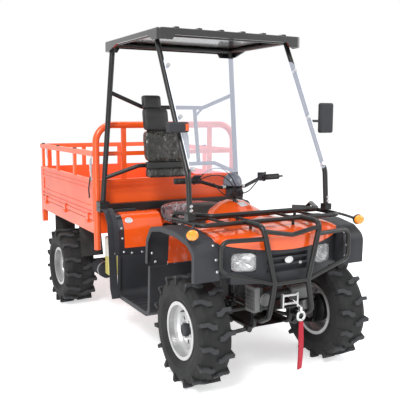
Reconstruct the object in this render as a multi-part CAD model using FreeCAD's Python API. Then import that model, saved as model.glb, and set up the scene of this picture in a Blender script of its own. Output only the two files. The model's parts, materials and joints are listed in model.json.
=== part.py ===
import FreeCAD, Part
import math
import os
from FreeCAD import Vector

# Stance on the ground. The vehicle faces -Y, its left side is +X, the ground is z = 0.
# Places along the vehicle are measured from the front axle's line.
FRONT_OVERHANG = 342.0
CAB_LENGTH = 1293.0
BED_SETBACK = 680.0
BED_OVERHANG = 868.0
STUB_LENGTH = 37.0
WHEELBASE = CAB_LENGTH + BED_SETBACK
BED_REAR = WHEELBASE + BED_OVERHANG
FRONT_AXLE_Y = FRONT_OVERHANG - (FRONT_OVERHANG + BED_REAR + STUB_LENGTH) / 2

# Gaps between pieces and laps of welds
SEAT_GAP = 0.3
RUN_GAP = 0.05
STEP_GAP = 3.0
WELD_LAP = 4.0
CUT_OVER = 20.0

# Wheels and tyres
FRONT_TYRE_R = 317.5
FRONT_TYRE_W = 205.0
FRONT_FACE_X = 576.0
REAR_TYRE_R = 300.0
REAR_TYRE_W = 250.0
REAR_FACE_X = 713.0
FRONT_RIM_R = 152.4
REAR_RIM_R = 139.7
RIM_WALL = 5.0
RIM_LIP = 15.0
RIM_DISC_T = 6.0
BEAD_SHARE = 0.76
HUB_CAP_R = 34.0
HUB_CAP_DEPTH = 32.0
HUB_WELL_SHARE = 0.7
RIM_SLOT_W = 16.0
RIM_SLOT_L = 26.0
RIM_SLOT_COUNT = 8
LUG_HEIGHT = 17.0
LUG_WIDTH = 26.0
LUG_PAIRS = 15
LUG_SHARES = ((0.06, -0.5), (0.34, -0.5), (0.62, 0.35), (0.98, 0.35),
              (0.98, 1.2), (0.50, 1.2), (0.24, 0.5), (0.06, 0.5))
CARCASS_SHARES = ((0.05, 0.76), (0.36, 0.97), (0.66, 0.97), (0.92, 0.86), (1.0, 0.60))
SPINDLE_R = 15.0

# Front suspension and steering
KINGPIN_X = 395.0
KINGPIN_R = 9.0
BALL_DROP = 78.0
UPRIGHT_W = 30.0
UPRIGHT_L = 44.0
EYE_R = 17.0
EYE_H = 22.0
ARM_R = 12.0
ARM_SPREAD = 105.0
BRAKE_R = 88.0
BRAKE_W = 38.0
STEER_ARM_L = 95.0
STEER_ARM_T = 10.0
STEER_ARM_W = 24.0
TIE_ROD_R = 8.0
TIE_ROD_Z = 350.0
UPPER_ARM_Z = 425.0
SHOCK_R = 26.0
SHOCK_ROD_R = 9.0
SHOCK_COILS = 7
SHOCK_FOOT_SHARE = 0.55
COLUMN_R = 14.0
COLUMN_SLEEVE_R = 24.0
COLUMN_TOP_Z = 1084.0
COLUMN_TOP_Y = 360.56
COLUMN_FOOT_Z = 604.0
COLUMN_SLEEVE_L = 36.0
COLUMN_RAKE_SHARE = 0.44

# Chassis
FRAME_HALF_W = 130.0
FRAME_TUBE_R = 17.0
FRAME_LOW_Z = 300.0
FRAME_TOP_Z = 560.0
FRAME_NOSE = 118.0
FRAME_POST_Y = 150.0
FRAME_STEP_Y = 480.0
FRAME_STEP_L = 160.0
FRAME_REAR = CAB_LENGTH - 93.0
FRAME_KICK = 120.0
SEAT_RAIL_Z = 735.0
SEAT_RAIL_END = 90.0
NOSE_TAB_W = 10.0
NOSE_TAB_Z = 640.0
NOSE_TAB_H = 36.0
RAIL_X = 250.0
RAIL_W = 50.0
RAIL_H = 80.0
RAIL_BOTTOM_Z = 560.0
HITCH_PIN_R = 8.25
HITCH_W = 70.0
HITCH_T = 12.0
HITCH_Z = 430.0
HITCH_PIN_REACH = 70.0
HITCH_END = 30.0
SKID_T = 4.0
SKID_FRONT = 50.0
SKID_REAR = 960.0
ENGINE_W = 210.0
ENGINE_L = 420.0
ENGINE_H = 330.0
ENGINE_FRONT = 330.0
AXLE_TUBE_R = 32.0
DIFF_R = 95.0
DIFF_W = 130.0

# Side fittings on the right
CANISTER_R = 58.0
CANISTER_L = 190.0
CANISTER_Z = 350.0
CANISTER_INSET = 130.0
CANISTER_TYRE_GAP = 53.0
CANISTER_LID = 12.0
BOTTLE_W = 95.0
BOTTLE_BOTTOM_Z = 340.0
BOTTLE_TOP_Z = 630.0
BOTTLE_NECK_R = 26.0
BOTTLE_NECK_H = 25.0
BOTTLE_INSET = 100.0
BOTTLE_GAP = 30.0
BRACKET_T = 8.0
BRACKET_W = 70.0

# Cargo bed
BED_HALF_W = 600.0
SILL_H = 93.0
SILL_W = 40.0
SILL_BOTTOM_Z = 668.0
FLOOR_T = 4.0
FLOOR_DROP = 16.0
CROSS_H = SILL_H - FLOOR_DROP - FLOOR_T
CROSS_W = 40.0
CROSS_COUNT = 5
GATE_T = 26.0
PANEL_H = 308.0
PRESS_DEPTH = 6.0
RAIL_GAP = 169.0
TOP_RAIL_H = 40.0
SLAT_W = 36.0
SLAT_SETBACK = 4.0
HINGE_R = 9.0
HINGE_PIN_R = 4.0
HINGE_L = 70.0
HINGE_STRAP_H = 60.0
KNUCKLE_SHARE = 0.28
EAR_SHARE = 0.4
POST_W = 45.0
POST_DROP = 117.0
SILL_TOP_Z = SILL_BOTTOM_Z + SILL_H
PIN_DROP = 16.0
PIN_Z = SILL_TOP_Z - PIN_DROP
GATE_LIFT = 5.0
GATE_PROUD = 1.0
HOOP_R = 25.0
HOOP_TOP_Z = 1494.0
HOOP_BEND = 130.0
HEAD_BAR_Z = 1258.0
HEAD_BAR_H = 32.0
HEAD_BAR_T = 20.0
HEAD_SLAT_X = 365.0
TIP_SETBACK = 300.0
TIP = BED_REAR - TIP_SETBACK
TIP_PIN_R = 12.0
TIP_PIN_L = 28.0
TIP_EAR_R = 30.0
TIP_EAR_T = 14.0
TIP_Z = RAIL_BOTTOM_Z + RAIL_H / 2
FLAP_T = 4.0
FLAP_INNER_X = 420.0
FLAP_H = 188.0
FLAP_TYRE_GAP = 25.0
FLAP_REAR_GAP = 120.0
FLAP_SLOPE = 65.0
FLAP_FRONT_H = 236.0
STUB_R = 16.0
STUB_DROP = 40.0

# Canopy frame, roof and windscreen
PILLAR_R = 19.0
PILLAR_FOOT_X = 568.0
PILLAR_TOP_X = 481.0
PILLAR_SETBACK = 68.0
PILLAR_Y = CAB_LENGTH - PILLAR_SETBACK
PILLAR_LEAN = 25.0
BEAM_BOTTOM_Z = 845.0
BEAM_SIZE = 55.0
A_PILLAR_R = 16.0
A_FOOT_X = 486.0
A_FOOT_Y = 9.0
A_KNEE_Y = 28.0
A_TOP_X = 481.0
A_TOP_Y = 449.0
A_TOP_Z = 1980.0
A_KNEE_Z = 1192.0
ROOF_TOP_Z = 2064.0
ROOF_HALF_W = 520.0
ROOF_DEPTH = 80.0
ROOF_WALL = 6.0
ROOF_CORNER = 28.0
ROOF_FRONT = 350.0
ROOF_TAIL = 50.0
ROOF_RIB_H = 9.0
ROOF_RIB_W = 34.0
ROOF_RIB_SHARES = (-0.75, -0.45, -0.15, 0.15, 0.45, 0.75)
SKIRT_RISE = 36.0
SKIRT_TAB = 80.0
CROSS_TUBE_R = 15.0
UPPER_CROSS_END_Z = 1701.0
UPPER_CROSS_Z = 1598.0
UPPER_CROSS_X = 250.0
UPPER_CROSS_Y = 1220.0
LOWER_CROSS_END_Z = 1089.0
LOWER_CROSS_Z = 1176.0
LOWER_CROSS_X = 315.0
LOWER_CROSS_Y = 1147.0
BACK_POST_X = 178.0
SCREEN_T = 4.0
SCREEN_HALF_W = 478.0
SCREEN_L = 770.0
SCREEN_CORNER = 30.0
SCREEN_STANDOFF = 12.0
SCREEN_SEAT_SHARES = (0.04, 0.41, 0.795)
SCREEN_SEAT_INSET = 16.0
CLAMP_R = 12.0
CLAMP_STEM_R = 4.0

# Mirrors
MIRROR_H = 196.0
MIRROR_W = 112.0
MIRROR_T = 34.0
MIRROR_X = 620.0
MIRROR_Y = 200.0
MIRROR_Z = 1523.0
MIRROR_ROUND = 14.0
MIRROR_ARM_R = 8.0
FOLDED_X = 522.0
FOLDED_Y = 88.0
FOLDED_Z = 1470.0
FOLDED_W = 136.0
FOLDED_H = 60.0

# Front rack and bumper
RACK_R = 13.0
RACK_HALF_W = 490.0
RACK_REAR_HALF_W = 430.0
RACK_FRONT = 123.0
RACK_REAR = 290.0
RACK_CROSS_Y = 110.0
RACK_LOW_Z = 935.0
RACK_RISE = 36.0
RACK_HIGH_HALF_W = 370.0
RACK_HIGH_FRONT = 42.0
RACK_HIGH_REAR = 180.0
RACK_BAR_SHARES = (0.31, 0.65)
RACK_FOOT_X = 150.0
RACK_FOOT_Y = -100.0
BUMPER_R = 16.0
BUMPER_REACH = 300.0
BUMPER_TOP_X = 195.0
BUMPER_KNEE_X = 115.0
BUMPER_KNEE_Z = 606.0
BUMPER_SHIN_X = 150.0
BUMPER_SHIN_Z = 420.0
BUMPER_FOOT_L = 60.0
BUMPER_FOOT_Z = 368.0
LOOP_X = 442.0
LOOP_SETBACK = 38.0
LOOP_INNER_X = 178.0
LOOP_TOP_Z = 867.0
LOOP_SIDE_Z = 695.0
VEE_END_Z = 910.0
VEE_LOW_Z = 876.0

# Winch, hook and strap
WINCH_R = 50.0
WINCH_Z = 505.0
WINCH_HALF_L = 205.0
WINCH_DRUM_HALF_L = 62.0
WINCH_DRUM_R = 31.0
WINCH_CASE_L = 54.0
WINCH_CASE_H = 148.0
WINCH_CASE_ROUND = 14.0
WINCH_FIN_COUNT = 5
WINCH_FIN_T = 4.0
WINCH_FIN_DEPTH = 5.0
WINCH_REACH = FRAME_NOSE + FRAME_TUBE_R + WINCH_R + SEAT_GAP
PLATE_HALF_W = 95.0
PLATE_T = 6.0
PLATE_Z = 449.0
FAIRLEAD_X = 7.0
FAIRLEAD_HALF_W = 55.0
FAIRLEAD_T = 10.0
FAIRLEAD_H = 86.0
ROLLER_R = 7.0
ROLLER_SPACE = 48.0
HOOK_X = 45.0
HOOK_Z = 410.0
HOOK_RING_R = 24.0
HOOK_BAR_R = 8.0
HOOK_STEM_L = 31.0
HOOK_STEM_R = 9.0
ROPE_R = 3.0
STRAP_W = 40.0
STRAP_T = 5.0
STRAP_LOW_Z = 94.0

# Bodywork
PANEL_T = 5.0
NOSE_HALF_W = 430.0
NOSE_TIP = 280.0
NOSE_SIDE = 165.0
HOOD_REAR = 180.0
HOOD_LIP_Z = 790.0
HOOD_LIP_RISE = 50.0
HOOD_BASE_Z = 740.0
HOOD_SIDE_Z = 850.0
HOOD_RISE = 70.0
HOOD_STATION_SHARES = ((-0.04, 0.96, 0.00, 0.22), (0.18, 0.98, 0.26, 0.43), (0.48, 1.0, 0.56, 0.68),
                       (0.74, 0.98, 0.54, 0.80), (1.0, 0.84, 0.42, 1.0))
CREASE_SHARES = ((1.0, 0.0), (0.70, 0.40), (0.38, 1.0), (0.28, 0.76))
TANK_L = 245.0
TANK_HALF_W = 200.0
TANK_BASE_Z = 790.0
TANK_SIDE_Z = 868.0
TANK_RISE = 132.0
TANK_STATION_SHARES = ((0.0, 0.95, 0.0, 0.43), (0.33, 1.0, 0.10, 0.76), (0.67, 0.97, 0.17, 1.0),
                       (1.0, 0.75, 0.17, 0.81))
TANK_CREASE_SHARES = ((1.0, 0.0), (0.86, 0.46), (0.42, 0.90), (0.16, 1.0))
COLUMN_CLEAR = 6.0
SADDLE_L = 735.0
SADDLE_HALF_W = 170.0
SADDLE_BASE_Z = 752.3
SADDLE_H = 208.0
SADDLE_STATION_SHARES = ((0.0, 0.40, 0.47, 0.71, 1.0), (0.18, 0.60, 0.20, 0.71, 0.98),
                         (0.51, 0.88, 0.0, 0.61, 0.89),
                         (0.78, 1.0, 0.0, 0.52, 0.82), (0.93, 0.97, 0.0, 0.47, 0.73),
                         (1.0, 0.82, 0.10, 0.42, 0.64))
FASCIA_TIP = 270.0
FASCIA_SIDE = 155.0
FASCIA_BACK_TIP = 212.0
FASCIA_BACK_SIDE = 150.0
FASCIA_BACK_HALF_W = 330.0
FASCIA_LOW_Z = 606.0
FASCIA_CORNER_Z = 645.0
FASCIA_CORNER_X = 340.0
GRILLE_HALF_W = 142.0
GRILLE_LOW_Z = 664.0
GRILLE_TOP_Z = 768.0
GRILLE_DEPTH = 34.0
GRILLE_BAR_H = 13.0
GRILLE_BAR_SHARES = (0.30, 0.66)
LAMP_X = 273.0
LAMP_Z = 731.0
LAMP_W = 132.0
LAMP_H = 104.0
LAMP_FACE = 248.0
LAMP_DEPTH = 62.0
LAMP_ROUND = 16.0
BEZEL_GROW = 15.0
SIGNAL_R = 30.0
SIGNAL_L = 50.0
SIGNAL_X = 585.0
SIGNAL_Y = -165.0
SIGNAL_Z = 905.0
SIGNAL_STALK_R = 8.0
FLARE_INNER_X = 432.0
FLARE_OUTER_X = 585.0
FLARE_LIP = 30.0
FLARE_BEND = 70.0
FLARE_REAR = 420.0
FLARE_FRONT = 240.0
FLARE_LOW_Z = 630.0
FLARE_TOP_Z = 892.0
FLARE_SHARES = ((0.0, 0.0), (0.02, 0.57), (0.12, 0.91), (0.33, 1.0), (0.64, 1.0), (0.86, 0.91),
                (0.99, 0.70),
                (0.985, 0.065))
WALL_LOW_Z = 600.0
WALL_INNER_X = 202.0
WALL_SHARES = ((0.0, 0.0), (0.08, 0.62), (0.34, 0.93), (1.0, 1.0))
WALL_TOP_Z = 886.0
FENDER_L = 240.0
FENDER_INNER_X = 200.0
FENDER_OUTER_X = 550.0
FENDER_LOW_Z = 565.0
FENDER_TOP_Z = 844.0
FENDER_SHARES = ((0.0, 0.0), (0.05, 0.66), (0.24, 0.95), (0.55, 1.0), (0.885, 0.965))
BOARD_Z = 262.0
BOARD_TRENCH = 38.0
BOARD_LIP = 30.0
BOARD_BEND = 45.0
BOARD_FRONT = 490.0
SPLASH_FOOT = 15.0
BOARD_RIB_COUNT = 6
BOARD_RIB_W = 14.0
BOARD_RIB_H = 3.0
REAR_FLARE_W = 56.0
REAR_FLARE_SHARES = ((-0.10, 0.0), (0.06, 0.11), (0.13, 0.50), (0.21, 0.86), (0.48, 1.0), (0.82, 1.0))
REAR_FLARE_TOP_Z = 866.0

# Backrest, controls and instruments
BACK_X = -112.0
BACK_HALF_W = 185.0
BACK_T = 73.0
BACK_BOARD_T = 8.0
BACK_BOARD_HALF_W = 95.0
BACK_BOARD_X = -147.0
BACK_LOW_Z = 1090.0
BACK_TOP_Z = 1685.0
BACK_ROUND = 16.0
PAD_SHARES = ((-1.0, 1.0, 0.0, 0.11, 1.0), (-1.0, 1.0, 0.185, 0.575, 1.0),
              (-0.92, 0.13, 0.565, 0.845, 0.85),
              (-0.91, -0.12, 0.835, 1.0, 0.72))
BAR_R = 11.0
BAR_BEND = 45.0
BAR_MID_Z = 1082.0
BAR_MID_Y = 350.0
BAR_MID_HALF_W = 90.0
BAR_RISE_X = 240.0
BAR_RISE_Z = 1130.0
BAR_RISE_Y = 385.0
BAR_END_X = 390.0
BAR_END_Y = 405.0
GRIP_R = 17.0
GRIP_L = 130.0
LEVER_R = 6.0
LEVER_REACH = 48.0
PERCH_L = 44.0
PERCH_R = 19.0
POD_W = 112.0
POD_L = 118.0
POD_TOP_Z = 1172.0
POD_FRONT = 292.0
POD_SHARES = ((0.0, 0.30), (0.12, 0.66), (0.35, 0.96), (0.62, 1.0), (0.86, 0.80), (1.0, 0.45))


def point(x, y, z):
    """A place whose y is measured from the front axle's line."""
    return Vector(x, FRONT_AXLE_Y + y, z)


def part_way(start, end, share):
    return start + (end - start) * share


def block(x0, x1, y0, y1, z0, z1):
    """A box between two corners, with y from the front axle's line."""
    low = point(min(x0, x1), min(y0, y1), min(z0, z1))
    return Part.makeBox(abs(x1 - x0), abs(y1 - y0), abs(z1 - z0), low)


def rod(start, end, radius):
    return Part.makeCylinder(radius, (end - start).Length, start, end - start)


def bent_path(points, bend):
    """Straight runs joined by tangent arcs of one radius, less where a run is short."""
    edges = []
    last = points[0]
    for before, corner, after in zip(points, points[1:], points[2:]):
        back = (before - corner).normalize()
        ahead = (after - corner).normalize()
        half_turn = (math.pi - back.getAngle(ahead)) / 2
        room = min((before - corner).Length, (after - corner).Length) / 2
        setback = min(bend * math.tan(half_turn), room)
        radius = setback / math.tan(half_turn)
        start = corner + back * setback
        end = corner + ahead * setback
        middle_way = (back + ahead).normalize()
        centre = corner + middle_way * (radius / math.cos(half_turn))
        middle = centre - middle_way * radius
        if (start - last).Length > RUN_GAP:
            edges.append(Part.LineSegment(last, start).toShape())
        edges.append(Part.Arc(start, middle, end).toShape())
        last = end
    if (points[-1] - last).Length > RUN_GAP:
        edges.append(Part.LineSegment(last, points[-1]).toShape())
    return Part.Wire(edges)


def tube(points, radius, bend):
    """A bent round bar along the points."""
    if len(points) == 2:
        return rod(points[0], points[1], radius)
    path = bent_path(points, bend)
    ring = Part.Wire(Part.makeCircle(radius, points[0], points[1] - points[0]))
    return path.makePipeShell([ring], True, False)


def ring_of(points):
    return Part.makePolygon(points + points[:1])


def prism(points, along):
    return Part.Face(ring_of(points)).extrude(along)


def prism_x(yz, x0, x1):
    """An outline in the YZ plane extruded across the vehicle."""
    return prism([point(x0, y, z) for y, z in yz], Vector(x1 - x0, 0, 0))


def sheet_x(yz, wall, x0, x1, bend):
    """A sheet across the vehicle, bent along an outline of (y, z) places."""
    points = [point(x0, y, z) for y, z in yz]
    path = bent_path(points, bend)
    run = (points[1] - points[0]).normalize()
    inward = Vector(0, -run.z, run.y) * wall
    across = Vector(x1 - x0, 0, 0)
    profile = ring_of([points[0], points[0] + across, points[0] + across + inward, points[0] + inward])
    return path.makePipeShell([profile], True, False)


def rounded(shape, radius, chosen):
    """The shape with a fillet on the edges that the test picks."""
    return shape.makeFillet(radius, [edge for edge in shape.Edges if chosen(edge.BoundBox)])


def mirrored(shape):
    return shape.mirror(Vector(), Vector(1, 0, 0))


def fused(shapes):
    if len(shapes) == 1:
        return shapes[0]
    return shapes[0].multiFuse(shapes[1:]).removeSplitter()


def both(shape):
    return Part.makeCompound([shape, mirrored(shape)])


def save(name, shape):
    shape.exportStep("parts/" + name + ".step")


def tyre_carcass(centre_x, axle_y, radius, width, rim_r):
    """Beads inside the rim's lips, bulged walls and a flat crown, turned about the axle."""
    half = width / 2
    lip = rim_r + RIM_LIP
    tall = radius - LUG_HEIGHT - lip
    bead = half * BEAD_SHARE - SEAT_GAP
    wall = tall * 0.13
    outer = [(bead, rim_r + SEAT_GAP)]
    outer += [(half * across - (SEAT_GAP if rise < 0.1 else 0), lip + tall * rise) for rise,
              across in CARCASS_SHARES]
    inner = [(bead - wall, rim_r + SEAT_GAP), (half * 0.97 - wall, lip + tall * 0.40),
             (half * 0.55, lip + tall - wall)]
    ring = outer + [(-x, r) for x, r in outer[::-1]] + [(-x, r) for x, r in inner] + inner[::-1]
    face = Part.Face(ring_of([point(centre_x + x, axle_y, radius + r) for x, r in ring]))
    return face.revolve(point(centre_x, axle_y, radius), Vector(1, 0, 0), 360)


def tyre_lug(centre_x, axle_y, radius, width, side, turn):
    """One bent tread bar that runs from near the middle over the shoulder."""
    base = radius - LUG_HEIGHT * 2.9
    outline = [point(centre_x + side * width / 2 * x, axle_y + LUG_WIDTH * y, radius + base) for x,
               y in LUG_SHARES]
    lug = prism(outline, Vector(0, 0, radius - base))
    lug.rotate(point(centre_x, axle_y, radius), Vector(1, 0, 0), turn)
    return lug


def tyre(centre_x, axle_y, radius, width, rim_r):
    parts = [tyre_carcass(centre_x, axle_y, radius, width, rim_r)]
    pitch = 360 / LUG_PAIRS
    for index in range(LUG_PAIRS):
        parts.append(tyre_lug(centre_x, axle_y, radius, width, 1, index * pitch))
        parts.append(tyre_lug(centre_x, axle_y, radius, width, -1, (index + 0.5) * pitch))
    return parts[0].multiFuse(parts[1:])


def rim_profile(half, rim_r):
    """Half section of the rim from lip to lip, with the dished disc, as (x, radius)."""
    lip = rim_r + RIM_LIP
    well = rim_r - RIM_LIP
    step = rim_r * 0.78
    disc = half * 0.25
    bore = SPINDLE_R + RUN_GAP
    return [(-half - RIM_WALL, lip), (-half, lip), (-half, rim_r), (-half * 0.55, rim_r),
            (-half * 0.35, well),
            (half * 0.30, well), (half * 0.50, rim_r), (half, rim_r), (half, lip), (half + RIM_WALL, lip),
            (half + RIM_WALL, rim_r - RIM_WALL), (half * 0.60, rim_r - RIM_WALL), (half * 0.52, step),
            (disc + RIM_DISC_T, step - RIM_WALL * 2), (disc + RIM_DISC_T, bore), (disc, bore),
            (disc, step - RIM_WALL),
            (half * 0.35, well - RIM_WALL), (-half * 0.40, well - RIM_WALL),
            (-half * 0.60, rim_r - RIM_WALL),
            (-half - RIM_WALL, rim_r - RIM_WALL)]


def rim(centre_x, axle_y, radius, width, rim_r):
    """A drop-centre barrel with two lips, a slotted dished disc and a hub cap."""
    half = width / 2 * BEAD_SHARE
    centre = point(centre_x, axle_y, radius)
    face = Part.Face(ring_of([centre + Vector(x, 0, r) for x, r in rim_profile(half, rim_r)]))
    body = face.revolve(centre, Vector(1, 0, 0), 360)
    disc_x = centre_x + half * 0.25 + RIM_DISC_T
    slot_z = radius + rim_r * 0.40
    slots = []
    for index in range(RIM_SLOT_COUNT):
        slot = block(disc_x - CUT_OVER, disc_x + CUT_OVER, axle_y - RIM_SLOT_W / 2, axle_y + RIM_SLOT_W / 2,
                     slot_z, slot_z + RIM_SLOT_L)
        slot.rotate(centre, Vector(1, 0, 0), 360 / RIM_SLOT_COUNT * index)
        slots.append(slot)
    cap = rod(point(disc_x - RIM_DISC_T, axle_y, radius), point(disc_x + HUB_CAP_DEPTH, axle_y, radius),
              HUB_CAP_R)
    well = rod(point(disc_x - CUT_OVER, axle_y, radius),
               point(disc_x + HUB_CAP_DEPTH * HUB_WELL_SHARE, axle_y, radius), SPINDLE_R + RUN_GAP)
    return body.cut(Part.makeCompound(slots)).fuse(cap).cut(well).removeSplitter()


def wheel_pair(place, axle_y, radius, width, face_x, rim_r):
    centre = face_x - width / 2
    left_tyre = tyre(centre, axle_y, radius, width, rim_r)
    left_rim = rim(centre, axle_y, radius, width, rim_r)
    save(place + "_left_tyre", left_tyre)
    save(place + "_right_tyre", mirrored(left_tyre))
    save(place + "_left_rim", left_rim)
    save(place + "_right_rim", mirrored(left_rim))


def spindle_end(face_x, width):
    """How far out a hub spindle reaches inside its cap."""
    disc = width / 2 * BEAD_SHARE * 0.25
    return face_x - width / 2 + disc + RIM_DISC_T + HUB_CAP_DEPTH * HUB_WELL_SHARE - SEAT_GAP


def knuckle():
    """Upright, kingpin, spindle, brake and steering arm of the left wheel."""
    axle_z = FRONT_TYRE_R
    half = BALL_DROP - EYE_H / 2 - ARM_R * 2 / 3
    upright = block(KINGPIN_X - UPRIGHT_W / 2, KINGPIN_X + UPRIGHT_W / 2, -UPRIGHT_L / 2, UPRIGHT_L / 2,
                    axle_z - half, axle_z + half)
    reach = BALL_DROP + EYE_H / 2
    pin = rod(point(KINGPIN_X, 0, axle_z - reach), point(KINGPIN_X, 0, axle_z + reach), KINGPIN_R)
    spindle = rod(point(KINGPIN_X, 0, axle_z), point(spindle_end(FRONT_FACE_X, FRONT_TYRE_W), 0, axle_z),
                  SPINDLE_R)
    brake_x = KINGPIN_X + EYE_R + STEP_GAP
    brake = rod(point(brake_x, 0, axle_z), point(brake_x + BRAKE_W, 0, axle_z), BRAKE_R)
    arm_z = TIE_ROD_Z + TIE_ROD_R + SEAT_GAP
    arm = block(KINGPIN_X - STEER_ARM_W / 2, KINGPIN_X + STEER_ARM_W / 2, 0, STEER_ARM_L + STEER_ARM_W / 2,
                arm_z, arm_z + STEER_ARM_T)
    return fused([upright, pin, spindle, brake, arm])


def wishbone(height, frame_z):
    """An A-shaped arm from two frame pivots to the eye around the kingpin."""
    eye = rod(point(KINGPIN_X, 0, height - EYE_H / 2), point(KINGPIN_X, 0, height + EYE_H / 2), EYE_R)
    pivot_x = FRAME_HALF_W + FRAME_TUBE_R + EYE_R + SEAT_GAP
    tip = point(KINGPIN_X - EYE_R / 2, 0, height)
    legs = []
    for end in (-1, 1):
        y = end * ARM_SPREAD
        legs.append(rod(point(pivot_x, y, frame_z), tip, ARM_R))
        legs.append(rod(point(pivot_x, y - EYE_H, frame_z), point(pivot_x, y + EYE_H, frame_z), EYE_R))
    hole = rod(point(KINGPIN_X, 0, height - EYE_H), point(KINGPIN_X, 0, height + EYE_H),
               KINGPIN_R + RUN_GAP)
    return fused([eye] + legs).cut(hole)


def shock(foot, head):
    """A damper rod inside a coil, drawn as stacked rings."""
    run = head - foot
    coil = run * (0.6 / SHOCK_COILS)
    parts = [rod(foot, head, SHOCK_ROD_R)]
    for index in range(SHOCK_COILS):
        start = foot + run * 0.2 + coil * index
        parts.append(rod(start, start + coil / 2, SHOCK_R))
    return fused(parts)


def front_suspension():
    """Lower arms with their dampers and upper arms, one set a side."""
    lower_z = FRONT_TYRE_R - BALL_DROP
    foot_x = part_way(FRAME_HALF_W, KINGPIN_X, SHOCK_FOOT_SHARE)
    foot_z = part_way(FRAME_LOW_Z, lower_z, SHOCK_FOOT_SHARE)
    head = point(FRAME_HALF_W + FRAME_TUBE_R + SHOCK_ROD_R + SEAT_GAP, 0, FRAME_TOP_Z)
    cross = rod(point(foot_x, -ARM_SPREAD / 2, foot_z), point(foot_x, ARM_SPREAD / 2, foot_z), ARM_R)
    side = fused([wishbone(lower_z, FRAME_LOW_Z), cross, shock(point(foot_x, 0, foot_z), head)])
    upper = wishbone(FRONT_TYRE_R + BALL_DROP, UPPER_ARM_Z)
    return Part.makeCompound([side, upper, mirrored(side), mirrored(upper)])


def tie_rods():
    return rod(point(-KINGPIN_X, STEER_ARM_L, TIE_ROD_Z), point(KINGPIN_X, STEER_ARM_L, TIE_ROD_Z),
               TIE_ROD_R)


def column_point(z):
    """A point on the steering column's axis at a height."""
    return point(0, COLUMN_TOP_Y + (z - COLUMN_TOP_Z) * COLUMN_RAKE_SHARE, z)


def cross_front():
    """Where the front face of the rails' first crossmember stands."""
    return FRAME_REAR - RAIL_W / 2


def main_frame():
    """A welded cradle of two closed loops, with its cross tubes, nose tabs and column sleeve."""
    plate_y = cross_front() - SEAT_GAP - WELD_LAP * 2
    rail_top = RAIL_BOTTOM_Z + RAIL_H
    parts = []
    for side in (-1, 1):
        x = side * FRAME_HALF_W
        cradle = [point(x, plate_y, RAIL_BOTTOM_Z + FRAME_TUBE_R * 1.5),
                  point(x, FRAME_REAR - FRAME_KICK, FRAME_LOW_Z),
                  point(x, -FRAME_NOSE, FRAME_LOW_Z), point(x, -FRAME_NOSE, FRAME_TOP_Z),
                  point(x, FRAME_STEP_Y, FRAME_TOP_Z),
                  point(x, FRAME_STEP_Y + FRAME_STEP_L, SEAT_RAIL_Z),
                  point(x, FRAME_REAR - SEAT_RAIL_END, SEAT_RAIL_Z),
                  point(x, plate_y, rail_top - FRAME_TUBE_R)]
        parts.append(tube(cradle, FRAME_TUBE_R, FRAME_TUBE_R * 3))
        parts.append(block(x - FRAME_TUBE_R * 1.5, x + FRAME_TUBE_R * 1.5, plate_y - WELD_LAP,
                           cross_front() - SEAT_GAP,
                           RAIL_BOTTOM_Z, rail_top))
        parts.append(rod(point(x, FRAME_POST_Y, FRAME_LOW_Z), point(x, FRAME_POST_Y, FRAME_TOP_Z),
                         FRAME_TUBE_R))
        parts.append(rod(point(x, -FRAME_NOSE, UPPER_ARM_Z), point(x, FRAME_POST_Y, UPPER_ARM_Z),
                         FRAME_TUBE_R))
        tab = (x - NOSE_TAB_W / 2, x + NOSE_TAB_W / 2)
        fascia_y = fascia_back(FRAME_HALF_W + NOSE_TAB_W / 2) + SEAT_GAP
        parts.append(block(*tab, fascia_y, NOSE_TAB_W - FRAME_NOSE, NOSE_TAB_Z - NOSE_TAB_H, NOSE_TAB_Z))
        parts.append(block(*tab, -NOSE_TAB_W - FRAME_NOSE, NOSE_TAB_W - FRAME_NOSE, FRAME_TOP_Z,
                           NOSE_TAB_Z))
    for y, z in ((-FRAME_NOSE, part_way(FRAME_LOW_Z, FRAME_TOP_Z, 0.46)),
                 (FRAME_STEP_Y + CUT_OVER, FRAME_LOW_Z),
                 (FRAME_POST_Y - SEAT_GAP, FRAME_TOP_Z), (FRAME_REAR - SEAT_RAIL_END * 2, SEAT_RAIL_Z)):
        parts.append(rod(point(-FRAME_HALF_W, y, z), point(FRAME_HALF_W, y, z), FRAME_TUBE_R))
    sleeve_top = COLUMN_FOOT_Z + COLUMN_SLEEVE_L
    parts.append(rod(column_point(FRAME_TOP_Z + FRAME_TUBE_R / 2), column_point(sleeve_top),
                     COLUMN_SLEEVE_R))
    bore = rod(column_point(COLUMN_FOOT_Z), column_point(sleeve_top + CUT_OVER), COLUMN_R + RUN_GAP)
    behind = block(-RAIL_X, RAIL_X, cross_front() - SEAT_GAP, cross_front() + RAIL_W, FRAME_LOW_Z,
                   SEAT_RAIL_Z)
    return parts[0].multiFuse(parts[1:]).cut(bore).cut(behind)


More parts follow.
